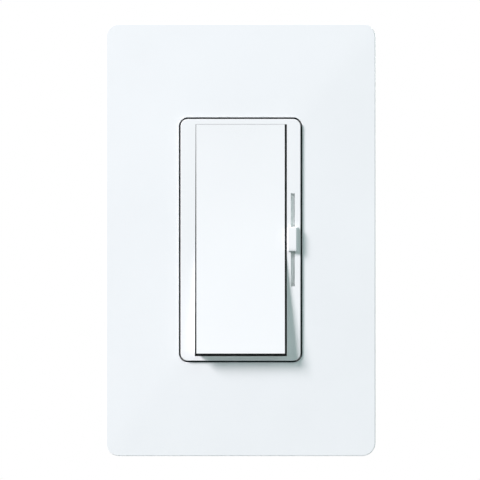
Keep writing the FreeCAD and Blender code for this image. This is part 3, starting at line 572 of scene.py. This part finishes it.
def pan_head(radius, rise, sweep=5):
    """The outline of a rounded screw head, from its rim up to its middle."""
    flat = 0.35 * rise
    fullness = 0.55
    points = [(radius, 0), (radius, flat)]
    for step in range(1, sweep + 1):
        a = math.radians(90) * step / sweep
        points.append((radius * math.cos(a) ** fullness, flat + (rise - flat) * math.sin(a)))
    points[-1] = (0, rise)
    return points


cover_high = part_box("back_cover")[1]
screw_low, screw_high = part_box("housing_screws")
housing_shank = 1.45 * mm
housing_head = 2.5 * mm
housing_x = screw_high.x - housing_head
housing_z = screw_high.z - housing_head
housing_tip = screw_low.y - cover_high.y
head_rise = screw_high.y - cover_high.y
recess_reach = 1.5 * mm
recess_width = 0.7 * mm
recess_depth = 1.1 * mm

one_screw = blank(
    [(0, housing_tip), (housing_shank, housing_tip), (housing_shank, 0)]
    + pan_head(housing_head, head_rise)
)
carve(one_screw, cross_recess(head_rise, recess_reach, recess_width, recess_depth))
facing_back = Matrix.Rotation(math.radians(-90), 4, "X")
all_screws = copies(
    one_screw,
    [
        Matrix.Translation((x, cover_high.y, z)) @ facing_back
        for x in (-housing_x, housing_x)
        for z in (-housing_z, housing_z)
    ],
)
housing_screws = new_piece(
    "housing_pan_screws", all_screws, steel, "housing", ["housing_screws"]
)
soften(housing_screws, 0.08 * mm, angle=35, segments=2)


# The bezel: one white moulding, polished to a soft gloss. The paddle rocks in its well, and the slide's
# tab stands through the narrow slot in its right strip. Four hooked legs pass through the yoke and clip
# behind it.
def first_rim(shape, width, height, radius, y, steps=8):
    """Starts a shape with a rounded rectangle parallel to the wall, and returns its edges."""
    corners = bmesh.ops.create_grid(shape, x_segments=1, y_segments=1, size=0.5)["verts"]
    bmesh.ops.scale(shape, vec=(width, height, 1), verts=corners)
    bmesh.ops.rotate(shape, matrix=Matrix.Rotation(math.radians(90), 3, "X"), verts=corners)
    bmesh.ops.translate(shape, vec=(0, y, 0), verts=corners)
    bmesh.ops.bevel(
        shape,
        geom=corners,
        offset=radius,
        offset_type="OFFSET",
        segments=steps,
        profile=0.5,
        affect="VERTICES",
        material=-1,
    )
    bmesh.ops.delete(shape, geom=shape.faces[:], context="FACES_ONLY")
    return shape.edges[:]


def corner_centre(rim, side, end):
    """The middle of one rounded corner of a rim, given by its width, height, corner radius and depth."""
    width, height, radius, y = rim
    return Vector((side * (width / 2 - radius), y, end * (height / 2 - radius)))


def next_rim(shape, edges, old, new):
    """Draws a rim out to the next one, corner by corner, and returns the new edges."""
    made = bmesh.ops.extrude_edge_only(shape, edges=edges)["geom"]
    fresh = [e for e in made if isinstance(e, bmesh.types.BMEdge) and e.is_boundary]
    points = {v for e in fresh for v in e.verts}
    growth = new[2] / old[2]
    for side in (-1, 1):
        for end in (-1, 1):
            corner = [v for v in points if v.co.x * side > 0 and v.co.z * end > 0]
            was = corner_centre(old, side, end)
            now = corner_centre(new, side, end)
            bmesh.ops.scale(shape, vec=(growth, 1, growth), space=Matrix.Translation(-was), verts=corner)
            bmesh.ops.translate(shape, vec=now - was, verts=corner)
    return fresh


def rolled_edge(width, height, radius, y, roll, steps=5):
    """The outlines of a face's rounded rim, from the face back to the side."""
    rims = []
    for step in range(steps + 1):
        a = math.radians(90) * step / steps
        inset = roll * (1 - math.sin(a))
        rims.append((width - 2 * inset, height - 2 * inset, radius - inset, y + roll * (1 - math.cos(a))))
    return rims


def drawn(rims, frame_ring=False):
    """A shape over a row of rims, closed by its two ends or, for a frame, back to its first rim."""
    shape = bmesh.new()
    start = edges = first_rim(shape, *rims[0])
    for old, new in zip(rims, rims[1:]):
        edges = next_rim(shape, edges, old, new)
    if frame_ring:
        next_rim(shape, edges, rims[-1], rims[0])
        bmesh.ops.remove_doubles(shape, verts=shape.verts, dist=fine_weld)
    else:
        bmesh.ops.contextual_create(shape, geom=start)
        bmesh.ops.contextual_create(shape, geom=edges)
    return solid(shape)


def rod(shape, radius, low, high):
    """A plain round bar about Z, from one height to another."""
    return turned(shape, [(0, low), (radius, low), (radius, high), (0, high)])


def white_moulding(name, colour, roughness, depth, gap):
    """Polished white plastic: nearly even, with a slight cloud and a faint ripple, and painted shade that
    darkens the walls of a gap to near black with depth. The gap is given by the half sizes that it lies
    within and by the two depths over which the painted shade darkens its walls."""
    cloud_size = 24 * mm
    ripple_size = 1.6 * mm
    pore_size = 0.16 * mm
    fade = 1.0 * mm
    # Painted shade: the near-black colour that the walls of the gap take on deep down, where shade falls
    # between the parts.
    painted_shade_colour = (0.06, 0.063, 0.06, 1)
    finish = Finish(bpy.data.materials.new(name))
    cloud = finish.cloud(cloud_size, detail=3.0)
    ripple = finish.cloud(ripple_size, detail=2.0)
    pores = finish.cloud(pore_size, detail=2.0)
    lighter = tuple(min(1.0, c * 1.012) for c in colour[:3]) + (1,)
    darker = tuple(c * 0.985 for c in colour[:3]) + (1,)
    unshaded_colour = finish.mix(finish.between(cloud * 0.8 + pores * 0.2, 0.3, 0.7), darker, lighter)
    half_x, half_z, shade_start_depth, shade_full_depth = gap
    across, back, up = (
        finish.node("ShaderNodeSeparateXYZ", {}, {"Vector": finish.place()}, axis) for axis in "XYZ"
    )
    # Painted shade mask: within the gap's outline and behind the first depth, the colour is darkened towards
    # near black, deeper in the gap.
    beside = 1 - finish.between(across * across, half_x**2, (half_x + fade) ** 2)
    within = beside * (1 - finish.between(up * up, half_z**2, (half_z + fade) ** 2))
    painted_shade = within * finish.between(back, shade_start_depth, shade_full_depth)
    finish.shader(
        {
            "Base Color": finish.mix(painted_shade, unshaded_colour, painted_shade_colour),
            "Roughness": roughness - 0.03 + cloud * 0.04 + pores * 0.03,
            "Normal": finish.bump(ripple * 0.7 + pores * 0.3, depth, strength=0.5),
            "IOR": 1.46,
        }
    )
    return finish


bezel_low, bezel_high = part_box("bezel")
bezel_trim = 0.03 * mm
bezel_width = 2 * (bezel_high.x - bezel_trim)
bezel_height = 2 * (bezel_high.z - bezel_trim)
bezel_front = bezel_low.y
yoke_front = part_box("yoke")[0].y
bezel_corner = 2.0 * mm
bezel_roll = 0.1 * mm
bezel_face = 1.2 * mm
bezel_wall = 0.8 * mm
slot_face = 0.7 * mm
well_left = -12.385 * mm
well_right = 12.67 * mm
well_low = -31.8 * mm
well_high = 31.6 * mm
well_slant = math.radians(0.2)
channel_in = 13.25 * mm
end_wall = 1.1 * mm
hub_window = 5.5 * mm
slot_inset = 2.1 * mm
slot_half_width = 0.53 * mm
slot_half_length = 12.7 * mm
pivot_depth = 3.6 * mm
pivot_hole = 1.16 * mm
pivot_hole_end = 13.4 * mm
# Painted shade: the two depths behind the bezel's face over which the walls in its gap are darkened.
bezel_shade_start = 1.0 * mm
bezel_shade_full = 1.9 * mm
leg_spread = 8.0 * mm
leg_half = 3.0 * mm
leg_thick = 1.0 * mm
leg_hook = 0.6 * mm
hook_start = 0.05 * mm
leg_end = 1.5 * mm
leg_inset = 1.15 * mm
past = 1.0 * mm

bezel_white = white_moulding(
    "bezel_white",
    (0.93, 0.945, 0.95, 1),
    roughness=0.3,
    depth=0.004 * mm,
    gap=(bezel_width, bezel_height, bezel_front + bezel_shade_start, bezel_front + bezel_shade_full),
)
floor_y = yoke_front - bezel_face
channel_out = bezel_width / 2 - bezel_wall
channel_z = bezel_height / 2 - end_wall
pivot_y = bezel_front + pivot_depth
slot_x = bezel_width / 2 - slot_inset
leg_z = bezel_height / 2 - leg_inset

bezel_shape = drawn(
    rolled_edge(bezel_width, bezel_height, bezel_corner, bezel_front, bezel_roll)
    + [(bezel_width, bezel_height, bezel_corner, yoke_front)]
)
bezel = new_piece("bezel_moulding", bezel_shape, bezel_white, "housing", ["bezel"])
tool = bmesh.new()
well = block(tool, well_left, well_right, bezel_front - past, floor_y, well_low, well_high)
for corner in well:
    if corner.co.x < 0:
        corner.co.x += corner.co.z * math.tan(well_slant)
block(tool, -hub_window, hub_window, floor_y - past, yoke_front + past, -hub_window, hub_window)
carve(bezel, tool)
tool = bmesh.new()
for x0, x1, face in ((channel_in, channel_out, slot_face), (-channel_out, -channel_in, bezel_face)):
    block(tool, x0, x1, bezel_front + face, yoke_front + past, -channel_z, channel_z)
carve(bezel, tool)
tool = bmesh.new()
block(
    tool,
    slot_x - slot_half_width,
    slot_x + slot_half_width,
    bezel_front - past,
    bezel_front + bezel_face + past,
    -slot_half_length,
    slot_half_length,
)
bearing = rod(tool, pivot_hole, -pivot_hole_end, pivot_hole_end)
along_x = Matrix.Rotation(math.radians(90), 4, "Y")
bmesh.ops.transform(tool, matrix=Matrix.Translation((0, pivot_y, 0)) @ along_x, verts=bearing)
carve(bezel, solid(tool))
tool = bmesh.new()
for third in (-2, -1, 1, 2):
    web_z = third * channel_z / 3
    block(
        tool,
        -channel_out - bezel_wall / 2,
        -channel_in + bezel_wall / 2,
        bezel_front + bezel_face / 2,
        yoke_front,
        web_z - bezel_wall / 2,
        web_z + bezel_wall / 2,
    )
for side in (-1, 1):
    for end in (-1, 1):
        x0 = side * leg_spread - leg_half
        x1 = side * leg_spread + leg_half
        leg = block(tool, x0, x1, yoke_front - bezel_face / 2, leg_end, leg_z, leg_z + leg_thick)
        hook = block(tool, x0, x1, hook_start, leg_end, leg_z - leg_hook, leg_z + leg_thick / 2)
        for corner in hook:
            if corner.co.y > leg_end / 2 and corner.co.z < leg_z:
                corner.co.z = leg_z
        bmesh.ops.scale(tool, vec=(1, 1, end), verts=leg + hook)
carve(bezel, solid(tool), "UNION")
soften(bezel, 0.12 * mm)


# The paddle: a thin shell moulded in the same white, with two flat faces that meet in a shallow valley over
# its pivot. Two pins carry it in the bezel, with its upper half level and its lower end standing out.
left_gap = 0.31 * mm
right_gap = 0.6 * mm
paddle_left = well_left + left_gap
paddle_right = well_right - right_gap
paddle_slant = math.radians(0.12)
paddle_turn = math.radians(4.6)
paddle_low = -31.185 * mm
paddle_high = 31.36 * mm
paddle_skirt = 4.0 * mm
paddle_skin = 1.5 * mm
paddle_rib = 1.0 * mm
trunnion = 1.1 * mm
trunnion_end = 13.1 * mm
lug_half_height = 3.0 * mm
lug_drop = 1.7 * mm
lug_step = 0.1 * mm
hub_radius = 3.1 * mm
hub_end = 6.0 * mm
bore_radius = 1.85 * mm
bore_floor = -7.0 * mm
# Painted shade: the height and the two depths over which the paddle's lugs and pins, seen in the gap at the
# pivot, are darkened.
pin_shade_reach = 2.0 * mm
paddle_shade_start = -2.2 * mm
paddle_shade_full = -1.4 * mm
paddle_sink = 0.02 * mm

paddle_white = white_moulding(
    "paddle_white",
    (0.935, 0.95, 0.955, 1),
    roughness=0.28,
    depth=0.004 * mm,
    gap=(bezel_width, pin_shade_reach, pivot_y + paddle_shade_start, pivot_y + paddle_shade_full),
)
valley_y = pivot_y - (pivot_depth - paddle_sink) / math.cos(paddle_turn / 2)


def rocker(x0, x1, low, high, front, back):
    """A block whose front and back fall to a valley in the middle, before it is turned on its pivot."""
    shape = bmesh.new()
    made = block(shape, x0, x1, front, back, low, high)
    split(shape, (0, 0, 0), (0, 0, 1))
    for corner in made:
        corner.co.y -= abs(corner.co.z) * math.tan(paddle_turn / 2)
    return solid(shape)


paddle_shape = rocker(
    paddle_left, paddle_right, paddle_low, paddle_high, valley_y, valley_y + paddle_skirt
)
for corner in paddle_shape.verts:
    if corner.co.x < 0:
        corner.co.x -= corner.co.z * math.tan(paddle_slant)
paddle = new_piece("paddle_rocker", paddle_shape, paddle_white, "rocker", ["paddle"])
inner_left = paddle_left + paddle_skin
inner_right = paddle_right - paddle_skin
inner_shape = rocker(
    inner_left,
    inner_right,
    paddle_low + paddle_skin,
    paddle_high - paddle_skin,
    valley_y + paddle_skin,
    valley_y + paddle_skirt + past,
)
carve(paddle, inner_shape)
tool = bmesh.new()
for third in (-2, -1, 1, 2):
    rib_z = third * paddle_high / 3
    rib_y = valley_y + paddle_skin - abs(rib_z) * math.tan(paddle_turn / 2)
    block(
        tool,
        inner_left - paddle_skin / 2,
        inner_right + paddle_skin / 2,
        rib_y - paddle_skin / 2,
        rib_y + 2 * paddle_rib,
        rib_z - paddle_rib / 2,
        rib_z + paddle_rib / 2,
    )
for side, inner, outer in (
    (-1, inner_left - lug_step, paddle_left + lug_step),
    (1, inner_right + lug_step, paddle_right - lug_step),
):
    block(
        tool,
        min(inner, outer),
        max(inner, outer),
        valley_y + paddle_skin / 2,
        pivot_y + lug_drop,
        -lug_half_height,
        lug_half_height,
    )
    pin_length = trunnion_end - abs(inner) - lug_step
    pin = rod(tool, trunnion, 0, pin_length)
    out = Matrix.Rotation(math.radians(90 * side), 4, "Y")
    pin_start = Matrix.Translation((inner + side * lug_step, pivot_y, 0))
    bmesh.ops.transform(tool, matrix=pin_start @ out, verts=pin)
hub = rod(tool, hub_radius, valley_y + paddle_skin / 2, hub_end)
bmesh.ops.transform(tool, matrix=facing_back, verts=hub)
carve(paddle, solid(tool), "UNION")
tool = bmesh.new()
rod(tool, bore_radius, bore_floor, hub_end + past)
bmesh.ops.transform(tool, matrix=facing_back, verts=tool.verts)
carve(paddle, solid(tool))
at_rest = (
    Matrix.Translation((0, pivot_y, 0))
    @ Matrix.Rotation(-paddle_turn / 2, 4, "X")
    @ Matrix.Translation((0, -pivot_y, 0))
)
flats = bmesh.new()
flats.from_mesh(paddle.data)
join_flats(flats)
flats.to_mesh(paddle.data)
flats.free()
paddle.data.transform(at_rest)
soften(paddle, 0.16 * mm)


# The plunger and its spring: a pin of natural nylon that slides in the paddle's hub, and a coil of steel
# wire at the bottom of its bore that presses it on the see-saw arm.
natural = plain(
    "natural_nylon",
    (0.78, 0.76, 0.68, 1),
    (0.84, 0.82, 0.75, 1),
    roughness=0.45,
    patch=4 * mm,
    grain=0.2 * mm,
    depth=0.01 * mm,
)
dress(["plunger"], natural)

spring_wire = 0.25 * mm
spring_radius = 1.5 * mm
spring_turns = 5
spring_rise = 1.1 * mm
spring_steps = 20
wire_sides = 8

spring = bmesh.new()
ring = bmesh.ops.create_circle(spring, segments=wire_sides, radius=spring_wire)["verts"]
across_ring = Matrix.Rotation(math.radians(90), 4, "X")
bmesh.ops.transform(
    spring, matrix=Matrix.Translation((spring_radius, 0, spring_wire)) @ across_ring, verts=ring
)
bmesh.ops.spin(
    spring,
    geom=spring.verts[:] + spring.edges[:],
    axis=(0, 0, 1),
    cent=(0, 0, 0),
    dvec=(0, 0, spring_rise / spring_steps),
    angle=math.radians(360 * spring_turns),
    steps=spring_steps * spring_turns,
)
bmesh.ops.holes_fill(spring, edges=spring.edges[:], sides=0)
bmesh.ops.transform(
    spring, matrix=at_rest @ Matrix.Translation((0, bore_floor, 0)) @ facing_back, verts=spring.verts
)
coil = new_piece(
    "plunger_coil_spring", solid(spring), steel, "rocker", ["plunger_spring"]
)
for face in coil.data.polygons:
    face.use_smooth = True


# The slide's tab: a small white moulding in front of the strip, on a stem through the slot. Its face is
# smaller than its foot and falls away toward its lower end.
tab_low, tab_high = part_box("slider_tab")
tab_reach = 1.0 * mm
tab_clearance = 0.1 * mm
tab_front = bezel_front - tab_reach
tab_back = bezel_front - tab_clearance
tab_between = (tab_front + tab_back) / 2
tab_right = 15.65 * mm
face_left = 13.05 * mm
face_right = 15.15 * mm
face_low = -3.0 * mm
face_high = 3.3 * mm
tab_nose = -2.0 * mm
tab_fall = 0.2 * mm
tab_tilt = 0.08 * mm
stem_half_width = 0.42 * mm
stem_half_length = 3.2 * mm

tab_middle = (tab_low.z + tab_high.z) / 2
tab_shape = bmesh.new()
tab_block = block(tab_shape, tab_low.x, tab_right, tab_front, tab_back, tab_low.z, tab_high.z)
for corner in tab_block:
    if corner.co.y < tab_between:
        corner.co.x = face_left if corner.co.x < slot_x else face_right
        corner.co.z = face_low if corner.co.z < 0 else face_high
        if corner.co.x < slot_x:
            corner.co.y += tab_tilt
split(tab_shape, (0, 0, tab_nose), (0, 0, 1))
for corner in tab_block:
    if corner.co.y < tab_between and corner.co.z < tab_nose:
        corner.co.y += tab_fall
tab = new_piece(
    "slide_tab", solid(tab_shape), paddle_white, "speed_slide", ["slider_tab"]
)
tool = bmesh.new()
block(
    tool,
    slot_x - stem_half_width,
    slot_x + stem_half_width,
    tab_back - past / 2,
    tab_high.y,
    tab_middle - stem_half_length,
    tab_middle + stem_half_length,
)
carve(tab, tool, "UNION")
soften(tab, 0.1 * mm, angle=20)


# The slide's carriage: a runner moulded in duller white plastic, in the channel behind the strip. It holds
# the tab's stem in its socket, and its long blade closes the slot above and below the tab.
runner = plain(
    "runner_plastic",
    (0.84, 0.88, 0.87, 1),
    (0.88, 0.92, 0.91, 1),
    roughness=0.45,
    patch=6 * mm,
    grain=0.2 * mm,
    depth=0.01 * mm,
)
runner_low, runner_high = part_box("slider_carriage")
runner_clearance = 0.1 * mm
runner_front = bezel_front + slot_face + runner_clearance
blade_left = runner_low.x + 1.18 * mm
blade_right = 15.45 * mm
blade_root = 0.5 * mm
upper_bow = 0.12 * mm
lower_bow = 0.62 * mm
socket_half_width = 0.475 * mm
socket_half_length = 3.25 * mm

carriage = eased("slide_carriage", "slider_carriage", runner, 0.08 * mm, "speed_slide")
tool = bmesh.new()
blade = block(
    tool,
    blade_left,
    blade_right,
    runner_front,
    runner_low.y + blade_root,
    runner_low.z,
    runner_high.z,
)
split(tool, (0, 0, tab_middle), (0, 0, 1))
for corner in blade:
    if corner.co.y < runner_low.y:
        corner.co.y += upper_bow if corner.co.z > tab_middle else lower_bow
block(
    tool,
    slot_x - socket_half_width,
    slot_x + socket_half_width,
    runner_front - past,
    runner_low.y + past,
    tab_middle - socket_half_length,
    tab_middle + socket_half_length,
)
carve(carriage, tool, "UNION")


# The adapter plate: a flat frame moulded in black plastic, screwed to the yoke, that the wall plate clips
# on. It is hidden, apart from a dark line of it at the bottom of the gap round the bezel.
adapter = plain(
    "adapter_plastic",
    (0.014, 0.015, 0.016, 1),
    (0.024, 0.025, 0.027, 1),
    roughness=0.6,
    patch=9 * mm,
    grain=0.3 * mm,
    depth=0.02 * mm,
)
eased("adapter_frame", "adapter_plate", adapter, 0.15 * mm)


# The adapter screws: two zinc-plated machine screws, with flat heads and a straight slot, that sink into
# the adapter and hold it to the yoke.
def saw(screw, half_x, half_y, floor, top):
    """Cuts a straight slot in a screw's head."""
    tool = bmesh.new()
    block(tool, -half_x, half_x, -half_y, half_y, floor, top)
    carve(screw, tool)


adapter_low, adapter_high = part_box("adapter_screws")
adapter_head = adapter_high.x
adapter_screw_z = adapter_high.z - adapter_head
adapter_tip = adapter_low.y - adapter_high.y
adapter_slot = -0.8 * mm
slot_half = 0.4 * mm
shank = 1.75 * mm
sink = 1.6 * mm
bite = 0.1 * mm

one_screw = blank(
    [
        (0, -sink - bite),
        (shank - 2 * bite, -sink - bite),
        (shank, -sink + bite),
        (adapter_head, -bite),
        (adapter_head, 0),
        (0, 0),
    ]
)
carve(one_screw, thread(shank, adapter_tip, -sink), "UNION")
saw(one_screw, adapter_head + past, slot_half, adapter_slot, past)
facing_front = Matrix.Rotation(math.radians(90), 4, "X")
all_screws = copies(
    one_screw,
    [
        Matrix.Translation((0, adapter_low.y, z)) @ facing_front
        for z in (-adapter_screw_z, adapter_screw_z)
    ],
)
flat_screws = new_piece(
    "adapter_flat_screws", all_screws, steel, "housing", ["adapter_screws"]
)
soften(flat_screws, 0.05 * mm, angle=70, segments=2)


# The mounting screws: two long zinc-plated machine screws with raised, slotted heads, that pass the yoke's
# slots into the wall box. The fibre squares grip their thin necks.
box_low, box_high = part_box("mounting_screws")
box_head = box_high.x
box_rise = yoke_front - box_low.y
box_tip = yoke_front - box_high.y
box_screw_z = box_high.z - box_head
box_slot = 1.2 * mm
neck_radius = 1.45 * mm
neck_length = 1.8 * mm

one_screw = blank(
    [(0, -neck_length - bite), (neck_radius, -neck_length - bite), (neck_radius, 0)]
    + pan_head(box_head, box_rise)
)
carve(one_screw, thread(shank, box_tip, -neck_length), "UNION")
saw(one_screw, box_head + past, slot_half, box_slot, box_rise + past)
all_screws = copies(
    one_screw,
    [Matrix.Translation((0, yoke_front, z)) @ facing_front for z in (-box_screw_z, box_screw_z)],
)
box_screws = new_piece(
    "wall_box_screws", all_screws, steel, "housing", ["mounting_screws"]
)
soften(box_screws, 0.05 * mm, angle=70, segments=2)


# The terminal screws: brass screws with broad domed heads and a straight slot, one in each side pocket of
# the cover. Each draws its clamp down on the wires.
terminal_low, terminal_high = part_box("terminal_screws")
terminal_head = terminal_high.z
terminal_y = (terminal_low.y + terminal_high.y) / 2
terminal_rise = 2.0 * mm
terminal_x = terminal_high.x - terminal_rise
terminal_shank = 1.95 * mm
terminal_neck = terminal_shank - 5 * bite
terminal_length = 4.6 * mm
terminal_slot = 1.1 * mm

one_screw = blank(
    [(0, -3 * bite), (terminal_neck, -3 * bite), (terminal_neck, 0)]
    + pan_head(terminal_head, terminal_rise)
)
carve(one_screw, thread(terminal_shank, -terminal_length, bite), "UNION")
saw(one_screw, slot_half, terminal_head + past, terminal_slot, terminal_rise + past)
all_screws = copies(
    one_screw,
    [
        Matrix.Translation((side * terminal_x, terminal_y, 0))
        @ Matrix.Rotation(math.radians(90 * side), 4, "Y")
        for side in (-1, 1)
    ],
)
binding_screws = new_piece(
    "terminal_binding_screws", all_screws, brass, "housing", ["terminal_screws"]
)
soften(binding_screws, 0.06 * mm, angle=70, segments=2)


# The ground screw: a steel screw in the yoke's bent tab. Its hexagon head has its corners turned off and a
# straight slot, and is painted green.
ground_low, ground_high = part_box("ground_screw")
ground_corner = (ground_high.x - ground_low.x) / 2
ground_head = 2.0 * mm
ground_shoulder = 0.6 * ground_head
ground_top = 0.84 * ground_corner
ground_slot = 1.1 * mm
ground_length = ground_high.z - ground_low.z - ground_head
ground_paint = plain(
    "green_paint",
    (0.03, 0.26, 0.08, 1),
    (0.05, 0.34, 0.12, 1),
    roughness=0.35,
    patch=3 * mm,
    grain=0.3 * mm,
    depth=0.01 * mm,
)
screw_shape = bmesh.new()
hexagon = bmesh.ops.create_circle(screw_shape, cap_ends=True, segments=6, radius=ground_corner)["verts"]
bmesh.ops.rotate(screw_shape, matrix=Matrix.Rotation(math.radians(30), 3, "Z"), verts=hexagon)
raised = bmesh.ops.extrude_face_region(screw_shape, geom=screw_shape.faces[:])["geom"]
raised = [v for v in raised if isinstance(v, bmesh.types.BMVert)]
bmesh.ops.translate(screw_shape, vec=(0, 0, ground_head + bite), verts=raised)
one_screw = new_piece("one_screw", solid(screw_shape))
tool = bmesh.new()
turned(
    tool,
    [
        (0, -past),
        (ground_corner + past, -past),
        (ground_corner + past, ground_shoulder),
        (ground_top, ground_head),
        (0, ground_head),
    ],
)
carve(one_screw, solid(tool), "INTERSECT")
carve(one_screw, thread(shank, -ground_length, bite), "UNION")
saw(one_screw, ground_corner + past, slot_half, ground_slot, ground_head + past)
ground_place = Matrix.Translation(
    ((ground_low.x + ground_high.x) / 2, (ground_low.y + ground_high.y) / 2, ground_low.z + ground_head)
)
all_screws = copies(one_screw, [ground_place @ Matrix.Rotation(math.radians(180), 4, "X")])
ground_screw = new_piece(
    "ground_hexagon_screw", all_screws, ground_paint, "housing", ["ground_screw"]
)
soften(ground_screw, 0.08 * mm, angle=70, segments=2)


# The wall plate: a thin white shell, moulded with softly rounded corners and rim, that clips over the
# adapter and hides the screws. Standing ribs behind its face rest on the adapter.
plate_front = plate_low.y
plate_width = 2 * plate_high.x
plate_height = 2 * plate_high.z
plate_lean = 0.42 * mm
plate_corner = 3.6 * mm
plate_roll = 0.22 * mm
plate_crown = 0.2 * mm
plate_wall = 2.2 * mm
reveal = 0.5 * mm
opening_roll = 0.12 * mm
# Painted shade: the two depths behind the plate's face over which the walls of its opening are darkened.
plate_shade_start = 0.4 * mm
plate_shade_full = 1.2 * mm
catch_reach = 1.6 * mm
catch_half = 4.0 * mm
catch_end = -0.2 * mm
rib_half = 5.0 * mm
rib_half_thick = 0.6 * mm
rib_x = 28.0 * mm
rib_z = 43.25 * mm
pry_half = 3.0 * mm
pry_depth = 1.2 * mm

opening_width = bezel_width + 2 * reveal
opening_height = bezel_height + 2 * reveal
opening_corner = bezel_corner + reveal
opening_edge = plate_front - plate_crown
half_rolled = opening_roll * (1 - math.sqrt(0.5))
face_width = plate_width - 2 * plate_lean
face_height = plate_height - 2 * plate_lean
inside_width = plate_width - 2 * plate_wall
inside_height = plate_height - 2 * plate_wall
inside_corner = plate_corner - plate_wall

plate_white = white_moulding(
    "plate_white",
    (0.915, 0.935, 0.945, 1),
    roughness=0.34,
    depth=0.005 * mm,
    gap=(opening_width / 2, opening_height / 2, plate_front + plate_shade_start, plate_front + plate_shade_full),
)
opening_rims = [
    (opening_width + 2 * inset, opening_height + 2 * inset, opening_corner + inset, y)
    for inset, y in (
        (0, plate_front + plate_wall),
        (0, opening_edge + opening_roll),
        (half_rolled, opening_edge + half_rolled),
        (opening_roll, opening_edge),
    )
]
plate_shape = drawn(
    opening_rims
    + rolled_edge(face_width, face_height, plate_corner, plate_front, plate_roll, steps=7)
    + [
        (plate_width, plate_height, plate_corner, 0),
        (inside_width, inside_height, inside_corner, 0),
        (inside_width, inside_height, inside_corner, plate_front + plate_wall),
    ],
    frame_ring=True,
)
wall_plate = new_piece(
    "wall_plate_shell", plate_shape, plate_white, "housing", ["wallplate"]
)
tool = bmesh.new()
for turn, distance, along in (
    (0, inside_width / 2, inside_height / 4),
    (0, inside_width / 2, -inside_height / 4),
    (180, inside_width / 2, inside_height / 4),
    (180, inside_width / 2, -inside_height / 4),
    (90, inside_height / 2, 0),
    (270, inside_height / 2, 0),
):
    ramp = block(
        tool,
        distance - catch_reach,
        distance + plate_wall / 2,
        yoke_front,
        catch_end,
        along - catch_half,
        along + catch_half,
    )
    for corner in ramp:
        if corner.co.y > (yoke_front + catch_end) / 2 and corner.co.x < distance:
            corner.co.x = distance
    bmesh.ops.rotate(tool, matrix=Matrix.Rotation(math.radians(turn), 3, "Y"), verts=ramp)
for x in (-rib_x, rib_x):
    for z in (-rib_z, rib_z):
        block(
            tool,
            x - rib_half_thick,
            x + rib_half_thick,
            plate_front + plate_wall / 2,
            adapter_low.y,
            z - rib_half,
            z + rib_half,
        )
carve(wall_plate, solid(tool), "UNION")
tool = bmesh.new()
block(tool, -pry_half, pry_half, -pry_depth, past, plate_low.z - past, plate_low.z + 2 * plate_wall)
carve(wall_plate, tool)
soften(wall_plate, 0.1 * mm, angle=40, segments=2)
